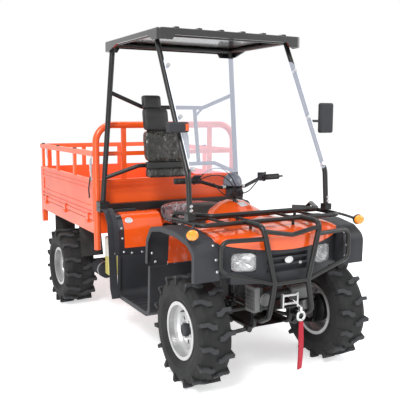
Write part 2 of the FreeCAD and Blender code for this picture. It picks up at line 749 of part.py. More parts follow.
def bed_rails():
    """Two box rails under the bed with tip pins, beam posts, crossmembers and the hitch."""
    rail_top = RAIL_BOTTOM_Z + RAIL_H
    rail_side = RAIL_X + RAIL_W / 2
    members = []
    for side in (-1, 1):
        inner, outer = side * (RAIL_X - RAIL_W / 2), side * rail_side
        rail = [block(inner, outer, FRAME_REAR - RAIL_W, TIP, RAIL_BOTTOM_Z, rail_top),
                rod(point(inner, TIP, TIP_Z), point(outer, TIP, TIP_Z), RAIL_H / 2),
                rod(point(side * RAIL_X, TIP, TIP_Z),
                    point(side * (rail_side + TIP_PIN_L), TIP, TIP_Z), TIP_PIN_R)]
        members.append(fused(rail))
        members.append(block(inner, outer, PILLAR_Y - RAIL_W / 2, PILLAR_Y + RAIL_W / 2,
                             rail_top + SEAT_GAP, BEAM_BOTTOM_Z))
    reach = RAIL_X - RAIL_W / 2 - SEAT_GAP
    front, rear = [block(-reach, reach, y - RAIL_W / 2, y + RAIL_W / 2, RAIL_BOTTOM_Z, rail_top - SEAT_GAP)
                   for y in (FRAME_REAR, TIP - RAIL_H)]
    return Part.makeCompound(members + [front, hitch(rear)])


def hitch(crossmember):
    """The rear crossmember with the drawbar plate that hangs from it."""
    y = TIP - RAIL_H
    half = HITCH_W / 2
    hanger = block(-half, half, y, y + HITCH_T, HITCH_Z, RAIL_BOTTOM_Z + HITCH_T)
    pin_y = TIP + HITCH_PIN_REACH
    tongue = block(-half, half, y, pin_y + HITCH_END, HITCH_Z, HITCH_Z + HITCH_T)
    hole = rod(point(0, pin_y, HITCH_Z - CUT_OVER), point(0, pin_y, HITCH_Z + CUT_OVER), HITCH_PIN_R)
    return fused([crossmember, hanger, tongue]).cut(hole)


def canister_rear():
    return WHEELBASE - REAR_TYRE_R - CANISTER_TYRE_GAP


def bottle_rear():
    return canister_rear() - CANISTER_L - BOTTLE_GAP


def side_brackets():
    """The hangers that hold the canister and the bottle to the right rail."""
    rail = -RAIL_X - RAIL_W / 2 - SEAT_GAP
    mid_y = canister_rear() - CANISTER_L / 2
    y = (mid_y - BRACKET_W / 2, mid_y + BRACKET_W / 2)
    reach = CANISTER_INSET - BED_HALF_W + CANISTER_R + SEAT_GAP
    hanger = block(rail, rail - BRACKET_T, *y, CANISTER_Z - BRACKET_T, RAIL_BOTTOM_Z + BRACKET_T)
    shelf = block(rail, reach, *y, CANISTER_Z - BRACKET_T / 2, CANISTER_Z + BRACKET_T / 2)
    bottle_y = bottle_rear() - BOTTLE_W / 2
    y = (bottle_y - BRACKET_W / 2, bottle_y + BRACKET_W / 2)
    face = BOTTLE_INSET - BED_HALF_W + BOTTLE_W + SEAT_GAP
    arm = block(rail, face, *y, RAIL_BOTTOM_Z + BRACKET_T * 4, RAIL_BOTTOM_Z + BRACKET_T * 5)
    plate = block(face, face + BRACKET_T, *y, part_way(BOTTLE_BOTTOM_Z, BOTTLE_TOP_Z, 0.3), BOTTLE_TOP_Z)
    return Part.makeCompound([hanger.fuse(shelf).removeSplitter(), arm.fuse(plate).removeSplitter()])


def air_canister():
    """A drum with a rolled lid at each end."""
    x = CANISTER_INSET - BED_HALF_W
    rear = canister_rear()
    ends = (rear - CANISTER_L, rear)
    drum = rod(point(x, ends[0], CANISTER_Z), point(x, ends[1], CANISTER_Z), CANISTER_R)
    groove = drum.cut(rod(point(x, ends[0], CANISTER_Z), point(x, ends[1], CANISTER_Z),
                          CANISTER_R - PANEL_T / 2))
    for start, way in ((ends[0] + CANISTER_LID, 1), (ends[1] - CANISTER_LID, -1)):
        ring = groove.common(block(x - CANISTER_R, x + CANISTER_R, start, start + way * PANEL_T,
                                   CANISTER_Z - CANISTER_R, CANISTER_Z + CANISTER_R))
        drum = drum.cut(ring)
    return drum


def washer_bottle():
    """A rounded bottle with a neck and cap."""
    x = BOTTLE_INSET - BED_HALF_W
    rear = bottle_rear()
    body = block(x, x + BOTTLE_W, rear - BOTTLE_W, rear, BOTTLE_BOTTOM_Z, BOTTLE_TOP_Z)
    body = rounded(body, BOTTLE_W / 5, lambda box: box.ZLength > BOTTLE_W)
    body = rounded(body, BOTTLE_W / 10, lambda box: box.ZLength < RUN_GAP)
    neck = point(x + BOTTLE_W / 2, rear - BOTTLE_W / 2, BOTTLE_TOP_Z - WELD_LAP)
    return fused([body, rod(neck, neck + Vector(0, 0, BOTTLE_NECK_H + WELD_LAP), BOTTLE_NECK_R)])


def rear_axle():
    """Live axle with a gear case, trailing arms and a coil damper under each rail."""
    z = REAR_TYRE_R
    y = WHEELBASE
    reach = spindle_end(REAR_FACE_X, REAR_TYRE_W)
    inner = REAR_FACE_X - REAR_TYRE_W
    parts = [rod(point(-inner, y, z), point(inner, y, z), AXLE_TUBE_R),
             rod(point(-reach, y, z), point(reach, y, z), SPINDLE_R),
             rod(point(-DIFF_W / 2, y, z), point(DIFF_W / 2, y, z), DIFF_R),
             rod(point(0, y, z), point(0, y - DIFF_R * 1.8, z + AXLE_TUBE_R), AXLE_TUBE_R)]
    arm = point(0, FRAME_REAR + RAIL_W, RAIL_BOTTOM_Z - FRAME_TUBE_R - SEAT_GAP)
    for side in (-1, 1):
        x = side * RAIL_X
        parts.append(shock(point(x, y, z), point(x, y, RAIL_BOTTOM_Z - SEAT_GAP)))
        parts.append(rod(point(x, y, z), Vector(x, arm.y, arm.z), FRAME_TUBE_R))
    return fused(parts)


def engine_block():
    """One plain block for the engine and gearbox, with its barrel."""
    bottom = FRAME_LOW_Z + FRAME_TUBE_R + SEAT_GAP
    rear = ENGINE_FRONT + ENGINE_L
    case = block(-ENGINE_W / 2, ENGINE_W / 2, ENGINE_FRONT, rear, bottom, bottom + ENGINE_H * 0.55)
    barrel = rod(point(0, ENGINE_FRONT + ENGINE_L * 0.35, bottom + ENGINE_H * 0.5),
                 point(0, ENGINE_FRONT + ENGINE_L * 0.25, bottom + ENGINE_H), ENGINE_W * 0.32)
    return case.fuse(barrel)


def skid_plate():
    top = FRAME_LOW_Z - FRAME_TUBE_R - SEAT_GAP
    return block(-FRAME_HALF_W, FRAME_HALF_W, -SKID_FRONT, SKID_REAR, top - SKID_T, top)


def front_bumper():
    """Two leaning uprights, side loops with a low bar, and a shallow V between them."""
    y = -BUMPER_REACH
    foot_y = -FRAME_NOSE - FRAME_TUBE_R - SEAT_GAP
    back = -RACK_FRONT - RACK_R - SEAT_GAP
    loop_y = y + LOOP_SETBACK
    parts = []
    for side in (-1, 1):
        foot = [point(side * FRAME_HALF_W, foot_y, BUMPER_FOOT_Z),
                point(side * FRAME_HALF_W, foot_y - BUMPER_FOOT_L, BUMPER_FOOT_Z),
                point(side * BUMPER_SHIN_X, y, BUMPER_SHIN_Z)]
        head = [point(side * BUMPER_KNEE_X, y, BUMPER_KNEE_Z), point(side * BUMPER_TOP_X, y, RACK_LOW_Z),
                point(side * BUMPER_TOP_X, back, RACK_LOW_Z)]
        parts.append(tube(foot + head, BUMPER_R, BUMPER_R * 3))
    half = [(LOOP_INNER_X, y, LOOP_TOP_Z), (LOOP_X, loop_y, LOOP_TOP_Z), (LOOP_X, loop_y, LOOP_SIDE_Z),
            (BUMPER_KNEE_X, y, BUMPER_KNEE_Z)]
    loop = [point(-px, py, pz) for px, py, pz in half] + [point(px, py, pz) for px, py, pz in half[::-1]]
    vee = [point(-BUMPER_TOP_X, y, VEE_END_Z), point(0, y, VEE_LOW_Z), point(BUMPER_TOP_X, y, VEE_END_Z)]
    parts += [tube(loop, RACK_R, RACK_R * 4), tube(vee, RACK_R, RACK_R * 4)]
    return fused(parts)


def rack_foot(side):
    """A short leg with a pad that stands on the hood."""
    top = point(side * RACK_FOOT_X, RACK_FOOT_Y, RACK_LOW_Z)
    leg = rod(top, Vector(top.x, top.y, HOOD_SIDE_Z), RACK_R * 0.7)
    return leg.cut(nose_form(SEAT_GAP))


def front_rack():
    """A low loop, a raised rail set back from it, bars between, and feet on the hood."""
    z = RACK_LOW_Z
    low = [(RACK_REAR_HALF_W, RACK_REAR, z), (RACK_HALF_W, RACK_REAR * 0.8, z),
           (RACK_HALF_W, -RACK_FRONT, z)]
    high = [(RACK_HALF_W, RACK_HIGH_REAR + RACK_RISE, z),
            (RACK_HALF_W + RACK_R * 0.8, RACK_HIGH_REAR, z + RACK_RISE),
            (RACK_HIGH_HALF_W, -RACK_HIGH_FRONT, z + RACK_RISE)]
    parts = []
    for half, bend in ((low, RACK_R * 4), (high, RACK_R * 3)):
        line = [point(-px, py, pz) for px, py, pz in half] + [point(px, py, pz) for px, py,
                                                              pz in half[::-1]]
        parts.append(tube(line, RACK_R, bend))
    parts.append(rod(point(-RACK_HALF_W, RACK_CROSS_Y, z), point(RACK_HALF_W, RACK_CROSS_Y, z), RACK_R))
    for side in (-1, 1):
        parts.append(rack_foot(side))
        for share in RACK_BAR_SHARES:
            x = side * RACK_HALF_W * share
            parts.append(rod(point(x, -RACK_FRONT, z), point(x, RACK_CROSS_Y, z), RACK_R * 0.7))
        x = side * RACK_HIGH_HALF_W * 0.55
        parts.append(rod(point(x, -RACK_HIGH_FRONT, z), point(x, -RACK_HIGH_FRONT, z + RACK_RISE),
                         RACK_R * 0.7))
    return fused(parts)


def winch_case():
    """The finned gear housing at the right end of the winch."""
    x0 = -WINCH_HALF_L
    x1 = x0 + WINCH_CASE_L
    low, high = WINCH_Z - WINCH_CASE_H / 2, WINCH_Z + WINCH_CASE_H / 2
    case = block(x0, x1, -WINCH_REACH - WINCH_R, -WINCH_REACH + WINCH_R - SEAT_GAP, low, high)
    case = rounded(case, WINCH_CASE_ROUND, lambda box: box.XLength > WINCH_FIN_DEPTH)
    pitch = (WINCH_CASE_H - WINCH_CASE_ROUND * 2) / WINCH_FIN_COUNT
    gaps = []
    for index in range(WINCH_FIN_COUNT):
        z = low + WINCH_CASE_ROUND + pitch * index
        gaps.append(block(x0 - CUT_OVER, x0 + WINCH_FIN_DEPTH, -WINCH_REACH - WINCH_R - CUT_OVER,
                          -WINCH_REACH + WINCH_R + CUT_OVER, z, z + pitch - WINCH_FIN_T))
    return case.cut(Part.makeCompound(gaps))


def winch():
    """Gear housing and motor each side of a drum, on a plate with a roller fairlead."""
    y, z = -WINCH_REACH, WINCH_Z
    drum = WINCH_DRUM_HALF_L
    lead_y = -BUMPER_REACH + BUMPER_R + STEP_GAP
    plate_low = PLATE_Z
    parts = [winch_case(), rod(point(-WINCH_HALF_L + WINCH_CASE_L / 2, y, z), point(-drum, y, z), WINCH_R),
             rod(point(drum, y, z), point(WINCH_HALF_L * 0.9, y, z), WINCH_R * 0.86),
             rod(point(WINCH_HALF_L * 0.88, y, z), point(WINCH_HALF_L, y, z), WINCH_R * 0.76),
             rod(point(-drum, y, z), point(drum, y, z), WINCH_DRUM_R),
             block(-PLATE_HALF_W, PLATE_HALF_W, lead_y, -FRAME_NOSE - FRAME_TUBE_R - SEAT_GAP, plate_low,
                   plate_low + PLATE_T),
             block(-PLATE_HALF_W, -PLATE_HALF_W + PLATE_T, y, y + WINCH_R / 2, plate_low, z),
             block(PLATE_HALF_W - PLATE_T, PLATE_HALF_W, y, y + WINCH_R / 2, plate_low, z)]
    for side in (-1, 1):
        x = FAIRLEAD_X + side * FAIRLEAD_HALF_W
        parts.append(block(x, x - side * FAIRLEAD_T, lead_y - PLATE_T, lead_y + FAIRLEAD_T + PLATE_T,
                           plate_low, plate_low + FAIRLEAD_H))
    left, right = FAIRLEAD_X - FAIRLEAD_HALF_W + SEAT_GAP, FAIRLEAD_X + FAIRLEAD_HALF_W - SEAT_GAP
    for height in (FAIRLEAD_H * 0.28, FAIRLEAD_H * 0.28 + ROLLER_SPACE):
        parts.append(rod(point(left, lead_y + FAIRLEAD_T / 2, plate_low + height),
                         point(right, lead_y + FAIRLEAD_T / 2, plate_low + height), ROLLER_R))
    return fused(parts)


def winch_hook():
    """Hook ring, its stem and the rope that leads back to the drum."""
    y = HOOK_BAR_R - FRONT_OVERHANG
    ring = Part.makeTorus(HOOK_RING_R, HOOK_BAR_R, point(HOOK_X, y, HOOK_Z), Vector(0, 1, 0))
    stem_foot = HOOK_Z + HOOK_RING_R
    stem = rod(point(HOOK_X, y, stem_foot), point(HOOK_X, y, stem_foot + HOOK_STEM_L), HOOK_STEM_R)
    lead_y = -BUMPER_REACH + BUMPER_R + STEP_GAP + FAIRLEAD_T / 2
    lead_z = PLATE_Z + FAIRLEAD_H * 0.28 + ROLLER_SPACE / 2
    lead = point(FAIRLEAD_X + FAIRLEAD_T, lead_y, lead_z)
    drum = point(FAIRLEAD_X + FAIRLEAD_T, -WINCH_REACH - WINCH_DRUM_R - SEAT_GAP * 2, WINCH_Z)
    rope = [point(HOOK_X, y, stem_foot + HOOK_STEM_L - WELD_LAP), lead - Vector(0, ROLLER_R * 3, 0), lead,
            drum]
    return fused([ring, stem, tube(rope, ROPE_R, ROPE_R * 4)])


def winch_strap():
    y = HOOK_BAR_R - FRONT_OVERHANG
    top = HOOK_Z - HOOK_RING_R - HOOK_BAR_R - SEAT_GAP
    return block(HOOK_X - STRAP_W / 4, HOOK_X + STRAP_W * 3 / 4, y - STRAP_T / 2, y + STRAP_T / 2,
                 STRAP_LOW_Z, top)


def arc_y(half_w, tip, side, x):
    """Where an arc across the nose stands at one x, from its reaches ahead of the axle."""
    rise = tip - side
    radius = (half_w ** 2 + rise ** 2) / (2 * rise)
    return -tip + radius - math.sqrt(radius ** 2 - x ** 2)


def fascia_back(x):
    return arc_y(FASCIA_BACK_HALF_W, FASCIA_BACK_TIP, FASCIA_BACK_SIDE, x)


def nose_plan(inset):
    """The nose's outline from above, bowed in front, as a tall block."""
    half = NOSE_HALF_W - inset
    side = inset - NOSE_SIDE
    left, right = point(-half, side, HOOD_BASE_Z), point(half, side, HOOD_BASE_Z)
    rear_right = point(half, HOOD_REAR + inset, HOOD_BASE_Z)
    rear_left = point(-half, HOOD_REAR + inset, HOOD_BASE_Z)
    edges = [Part.Arc(left, point(0, inset - NOSE_TIP, HOOD_BASE_Z), right).toShape(),
             Part.LineSegment(right, rear_right).toShape(),
             Part.LineSegment(rear_right, rear_left).toShape(),
             Part.LineSegment(rear_left, left).toShape()]
    return Part.Face(Part.Wire(edges)).extrude(Vector(0, 0, HOOD_RISE * 4))


def creased_section(y, half_w, base, side, crown, shares):
    """A flat-based section whose top has creases at shares of its half width and rise."""
    right = [point(half_w * across, y, part_way(side, crown, rise)) for across, rise in shares]
    left = [Vector(-p.x, p.y, p.z) for p in right[::-1]]
    return ring_of([point(-half_w, y, base), point(half_w, y, base)] + right + left)


def nose_form(grow):
    """The hood's outer form as a block, grown upwards and sideways."""
    wires = []
    for along, width, side, crown in HOOD_STATION_SHARES:
        y = part_way(-NOSE_TIP, HOOD_REAR, along)
        wires.append(creased_section(y, NOSE_HALF_W * width + grow, HOOD_BASE_Z,
                                     HOOD_SIDE_Z + HOOD_RISE * side + grow,
                                     HOOD_SIDE_Z + HOOD_RISE * crown + grow, CREASE_SHARES))
    return Part.makeLoft(wires, True, False)


def lip_arch(drop):
    """What lies under the hood's curved lower edge, as a block along the vehicle."""
    z = HOOD_LIP_Z - drop
    ends = z + HOOD_LIP_RISE
    half = NOSE_HALF_W
    y = -NOSE_TIP - CUT_OVER
    left, right = point(-half, y, ends), point(half, y, ends)
    far_right, far_left = point(half * 1.1, y, ends), point(-half * 1.1, y, ends)
    low_right, low_left = point(half * 1.1, y, FASCIA_LOW_Z - CUT_OVER), point(-half * 1.1, y,
                                                                               FASCIA_LOW_Z - CUT_OVER)
    edges = [Part.Arc(left, point(0, y, z), right).toShape(), Part.LineSegment(right, far_right).toShape(),
             Part.LineSegment(far_right, low_right).toShape(),
             Part.LineSegment(low_right, low_left).toShape(),
             Part.LineSegment(low_left, far_left).toShape(), Part.LineSegment(far_left, left).toShape()]
    return Part.Face(Part.Wire(edges)).extrude(Vector(0, NOSE_TIP + HOOD_REAR + CUT_OVER * 2, 0))


def hood():
    """A creased shell with a deep bowed lip over the headlamps."""
    outer = nose_form(0).common(nose_plan(0))
    inner = nose_form(-PANEL_T).common(nose_plan(PANEL_T))
    return outer.cut(inner).cut(lip_arch(0))


def tank_cover():
    """The raised cover ahead of the saddle, with the steering column's hole."""
    wires = []
    start = HOOD_REAR + SEAT_GAP
    for along, width, side, crown in TANK_STATION_SHARES:
        wires.append(creased_section(start + TANK_L * along, TANK_HALF_W * width, TANK_BASE_Z,
                                     TANK_SIDE_Z + TANK_RISE * side,
                                     TANK_SIDE_Z + TANK_RISE * crown, TANK_CREASE_SHARES))
    hole = rod(column_point(HOOD_BASE_Z), column_point(COLUMN_TOP_Z), COLUMN_R + COLUMN_CLEAR)
    return Part.makeLoft(wires, True, False).cut(hole)


def saddle():
    """A long seat with a flat base and a crowned top, narrow at the tank."""
    wires = []
    start = HOOD_REAR + TANK_L + SEAT_GAP * 2
    for along, width, base, side, crown in SADDLE_STATION_SHARES:
        y = start + SADDLE_L * along
        half = SADDLE_HALF_W * width
        low, high, top = (SADDLE_BASE_Z + SADDLE_H * share for share in (base, side, crown))
        corners = [point(-half, y, high), point(half, y, high), point(half, y, low), point(-half, y, low)]
        wires.append(Part.Wire([Part.Arc(corners[0], point(0, y, top), corners[1]).toShape(),
                                Part.LineSegment(corners[1], corners[2]).toShape(),
                                Part.LineSegment(corners[2], corners[3]).toShape(),
                                Part.LineSegment(corners[3], corners[0]).toShape()]))
    form = Part.makeLoft(wires, True, False)
    return form.cut(block(-SADDLE_HALF_W, SADDLE_HALF_W, start, start + SADDLE_L, SEAT_RAIL_Z,
                          SADDLE_BASE_Z))


def lamp_pocket(x):
    """A straight pocket with a flared mouth for one headlamp."""
    wires = []
    for y, grow in ((-FASCIA_TIP - CUT_OVER, BEZEL_GROW * 2), (-LAMP_FACE + STEP_GAP * 3, 0)):
        half_w, half_h = LAMP_W / 2 + grow, LAMP_H / 2 + grow * 0.8
        wires.append(ring_of([point(x - half_w, y, LAMP_Z - half_h), point(x + half_w, y, LAMP_Z - half_h),
                              point(x + half_w, y, LAMP_Z + half_h),
                              point(x - half_w, y, LAMP_Z + half_h)]))
    mouth = Part.makeLoft(wires, True, True)
    straight = block(x - LAMP_W / 2, x + LAMP_W / 2, -FASCIA_TIP, 0, LAMP_Z - LAMP_H / 2,
                     LAMP_Z + LAMP_H / 2)
    return mouth.fuse(straight)


def front_fascia():
    """The dark nose panel with flared lamp pockets and a barred grille."""
    z = FASCIA_LOW_Z
    outer = [point(-NOSE_HALF_W, -FASCIA_SIDE, z), point(0, -FASCIA_TIP, z),
             point(NOSE_HALF_W, -FASCIA_SIDE, z)]
    inner = [point(FASCIA_BACK_HALF_W, -FASCIA_BACK_SIDE, z), point(0, -FASCIA_BACK_TIP, z),
             point(-FASCIA_BACK_HALF_W, -FASCIA_BACK_SIDE, z)]
    wire = Part.Wire([Part.Arc(*outer).toShape(), Part.LineSegment(outer[2], inner[0]).toShape(),
                      Part.Arc(*inner).toShape(), Part.LineSegment(inner[2], outer[0]).toShape()])
    body = Part.Face(wire).extrude(Vector(0, 0, HOOD_LIP_Z + HOOD_LIP_RISE - z))
    body = body.common(lip_arch(SEAT_GAP))
    for x in (-LAMP_X, LAMP_X):
        body = body.cut(lamp_pocket(x))
    face = -FASCIA_TIP + GRILLE_DEPTH
    body = body.cut(block(-GRILLE_HALF_W, GRILLE_HALF_W, -FASCIA_TIP - CUT_OVER, face, GRILLE_LOW_Z,
                          GRILLE_TOP_Z))
    corner = block(FASCIA_CORNER_X, NOSE_HALF_W + CUT_OVER, -FASCIA_TIP, 0, z - CUT_OVER, FASCIA_CORNER_Z)
    body = body.cut(both(corner))
    bars = []
    for share in GRILLE_BAR_SHARES:
        low = part_way(GRILLE_LOW_Z, GRILLE_TOP_Z, share)
        bars.append(block(-GRILLE_HALF_W - WELD_LAP, GRILLE_HALF_W + WELD_LAP, face - GRILLE_DEPTH * 0.55,
                          face - GRILLE_DEPTH * 0.1,
                          low, low + GRILLE_BAR_H))
        bars.append(block(-GRILLE_BAR_H, GRILLE_BAR_H, face - GRILLE_DEPTH * 0.3, face + WELD_LAP, low,
                          low + GRILLE_BAR_H))
    return fused([body] + bars)


def headlamps():
    """Two rounded lamp blocks set in the fascia."""
    half_w, half_h = LAMP_W / 2 - SEAT_GAP, LAMP_H / 2 - SEAT_GAP
    lamp = block(LAMP_X - half_w, LAMP_X + half_w, -LAMP_FACE, LAMP_DEPTH - LAMP_FACE, LAMP_Z - half_h,
                 LAMP_Z + half_h)
    lamp = rounded(lamp, LAMP_ROUND, lambda box: box.YLength > LAMP_ROUND)
    front = FRONT_AXLE_Y - LAMP_FACE
    lamp = rounded(lamp, LAMP_ROUND / 3, lambda box: box.YMax < front + RUN_GAP)
    return both(lamp)


def signal_lamps():
    """Round amber lamps on stalks that clasp the rack's side tubes."""
    lamp = rod(point(SIGNAL_X, SIGNAL_Y - SIGNAL_L, SIGNAL_Z), point(SIGNAL_X, SIGNAL_Y, SIGNAL_Z),
               SIGNAL_R)
    lamp = rounded(lamp, SIGNAL_R / 3, lambda box: box.YLength < RUN_GAP)
    root = point(RACK_HALF_W + RACK_R, SIGNAL_Y + SIGNAL_L * 2, RACK_LOW_Z)
    stalk = rod(root, point(SIGNAL_X - SIGNAL_R / 2, SIGNAL_Y - SIGNAL_L / 2, SIGNAL_Z), SIGNAL_STALK_R)
    tube_way = rod(point(RACK_HALF_W, -RACK_FRONT, RACK_LOW_Z),
                   point(RACK_HALF_W, RACK_CROSS_Y, RACK_LOW_Z), RACK_R + SEAT_GAP)
    return both(lamp.fuse(stalk).cut(tube_way))


def placed(shares, y0, y1, z0, z1):
    """An outline of (y, z) places from shares of its length and height."""
    return [(part_way(y0, y1, along), part_way(z0, z1, up)) for along, up in shares]


def front_flares():
    """Black arch covers with a turned-down outer lip."""
    line = placed(FLARE_SHARES, FLARE_REAR, -FLARE_FRONT, FLARE_LOW_Z, FLARE_TOP_Z)
    cover = sheet_x(line, PANEL_T, FLARE_INNER_X, FLARE_OUTER_X, FLARE_BEND)
    lip = sheet_x(line, FLARE_LIP, FLARE_OUTER_X - PANEL_T, FLARE_OUTER_X, FLARE_BEND)
    return both(fused([cover, lip]))


def fender_front():
    return PILLAR_Y - FENDER_L


def fender_panels():
    """Coloured walls behind the front wheels and in front of the rear ones."""
    wall = placed(WALL_SHARES, FLARE_REAR + PANEL_T, HOOD_REAR + STEP_GAP, WALL_LOW_Z, WALL_TOP_Z)
    front = sheet_x(wall, PANEL_T, WALL_INNER_X, FLARE_INNER_X - SEAT_GAP, FLARE_BEND)
    line = placed(FENDER_SHARES, fender_front(), PILLAR_Y, FENDER_LOW_Z, FENDER_TOP_Z)
    rear = sheet_x(line, PANEL_T, FENDER_INNER_X, FENDER_OUTER_X, FLARE_BEND)
    side = sheet_x(line, -FLARE_LIP, FENDER_INNER_X, FENDER_INNER_X + PANEL_T, FLARE_BEND)
    return both(Part.makeCompound([front, fused([rear, side])]))


def footwells():
    """Black splash wall, ribbed footboard and rear wall of each side, with the outer flare."""
    inner = FRAME_HALF_W + FRAME_TUBE_R + SEAT_GAP
    rear = fender_front()
    line = [(FLARE_REAR + PANEL_T, WALL_LOW_Z - SEAT_GAP), (FLARE_REAR + CUT_OVER, BOARD_Z + BOARD_TRENCH),
            (BOARD_FRONT, BOARD_Z), (rear - CUT_OVER, BOARD_Z),
            (rear + SPLASH_FOOT, BOARD_Z + BOARD_TRENCH),
            (rear, FENDER_LOW_Z - SEAT_GAP)]
    parts = [sheet_x(line, PANEL_T, inner, FENDER_OUTER_X, BOARD_BEND),
             sheet_x(line, BOARD_LIP, FENDER_OUTER_X - PANEL_T * 2, FENDER_OUTER_X, BOARD_BEND)]
    pitch = (rear - BOARD_FRONT) / (BOARD_RIB_COUNT + 1)
    for index in range(BOARD_RIB_COUNT):
        y = BOARD_FRONT + pitch * (index + 0.5)
        parts.append(block(inner, FENDER_OUTER_X, y, y + BOARD_RIB_W, BOARD_Z,
                           BOARD_Z + PANEL_T + BOARD_RIB_H))
    flare = placed(REAR_FLARE_SHARES, rear, PILLAR_Y, BOARD_Z, REAR_FLARE_TOP_Z)
    start = FENDER_OUTER_X + SEAT_GAP
    parts.append(sheet_x(flare, PANEL_T, start, FENDER_OUTER_X + REAR_FLARE_W, FLARE_BEND))
    foot_y = flare[0][0]
    parts.append(block(FENDER_OUTER_X - WELD_LAP, start + WELD_LAP, foot_y, foot_y + CUT_OVER, BOARD_Z,
                       BOARD_Z + PANEL_T))
    return both(fused(parts))


def pillar_point(side, z):
    """A point on the rear pillar's axis at a height."""
    foot = BEAM_BOTTOM_Z + BEAM_SIZE
    share = (z - foot) / (ROOF_TOP_Z - foot)
    x = part_way(PILLAR_FOOT_X, PILLAR_TOP_X, share)
    return point(side * x, PILLAR_Y - PILLAR_LEAN * share, z)


def a_pillar_point(side, z):
    """A point on the raked stretch of the front pillar's axis."""
    share = (z - A_KNEE_Z) / (A_TOP_Z - A_KNEE_Z)
    return point(side * part_way(A_FOOT_X, A_TOP_X, share), part_way(A_KNEE_Y, A_TOP_Y, share), z)


def ring_height():
    """The height of the tubes that carry the roof sheet."""
    return ROOF_TOP_Z - ROOF_RIB_H - ROOF_WALL - A_PILLAR_R - SEAT_GAP


def pillar_side(side):
    """One rear pillar in its stacked foot block, the front pillar on its foot, and the roof tube."""
    ring_z = ring_height()
    x = side * PILLAR_FOOT_X
    low = BEAM_BOTTOM_Z + SEAT_GAP
    wide, deep = PILLAR_R * 1.9, PILLAR_R * 2.1
    foot_z = RACK_LOW_Z + RACK_R + SEAT_GAP
    clamp = A_PILLAR_R * 1.5
    a_x = side * A_FOOT_X
    front = [point(a_x, A_FOOT_Y, foot_z + WELD_LAP), point(a_x, A_KNEE_Y, A_KNEE_Z),
             a_pillar_point(side, ring_z)]
    brace = [point(side * BACK_POST_X, part_way(LOWER_CROSS_Y, UPPER_CROSS_Y, 0.84),
                   part_way(LOWER_CROSS_Z, UPPER_CROSS_Z, 0.84)),
             point(side * UPPER_CROSS_X, UPPER_CROSS_Y, UPPER_CROSS_Z)]
    return [rod(pillar_point(side, BEAM_BOTTOM_Z + BEAM_SIZE / 2), pillar_point(side, ring_z), PILLAR_R),
            block(x - wide, x + wide, PILLAR_Y - deep, PILLAR_Y + deep, low, low + BEAM_SIZE * 0.62),
            block(x - wide * 0.9, x + wide * 0.9, PILLAR_Y - deep * 0.9, PILLAR_Y + deep * 0.9, low,
                  low + BEAM_SIZE * 0.72),
            block(x - wide, x + wide, PILLAR_Y - deep, PILLAR_Y + deep, low + BEAM_SIZE * 0.72,
                  low + BEAM_SIZE * 1.35),
            tube(front, A_PILLAR_R, A_PILLAR_R * 6),
            block(a_x - clamp, a_x + clamp, A_FOOT_Y - clamp, A_FOOT_Y + clamp, foot_z,
                  foot_z + clamp * 1.6),
            rod(a_pillar_point(side, ring_z), pillar_point(side, ring_z), A_PILLAR_R),
            rod(point(side * BACK_POST_X, LOWER_CROSS_Y, LOWER_CROSS_Z),
                point(side * BACK_POST_X, UPPER_CROSS_Y, UPPER_CROSS_Z),
                CROSS_TUBE_R),
            rod(brace[0], brace[1], CROSS_TUBE_R * 0.6)]


def canopy_frame():
    """Rear pillars on a beam, cross tubes, raked front pillars and the roof ring."""
    ring_z = ring_height()
    half = BEAM_SIZE / 2
    parts = [block(-PILLAR_FOOT_X, PILLAR_FOOT_X, PILLAR_Y - half, PILLAR_Y + half,
                   BEAM_BOTTOM_Z + SEAT_GAP, BEAM_BOTTOM_Z + BEAM_SIZE)]
    parts += pillar_side(-1) + pillar_side(1)
    parts.append(rod(a_pillar_point(-1, ring_z), a_pillar_point(1, ring_z), A_PILLAR_R))
    parts.append(rod(pillar_point(-1, ring_z), pillar_point(1, ring_z), A_PILLAR_R))
    upper = [pillar_point(-1, UPPER_CROSS_END_Z), point(-UPPER_CROSS_X, UPPER_CROSS_Y, UPPER_CROSS_Z),
             point(UPPER_CROSS_X, UPPER_CROSS_Y, UPPER_CROSS_Z), pillar_point(1, UPPER_CROSS_END_Z)]
    lower = [pillar_point(-1, LOWER_CROSS_END_Z), point(-LOWER_CROSS_X, LOWER_CROSS_Y, LOWER_CROSS_Z),
             point(LOWER_CROSS_X, LOWER_CROSS_Y, LOWER_CROSS_Z), pillar_point(1, LOWER_CROSS_END_Z)]
    parts += [tube(line, CROSS_TUBE_R, CROSS_TUBE_R * 4) for line in (upper, lower)]
    return fused(parts)


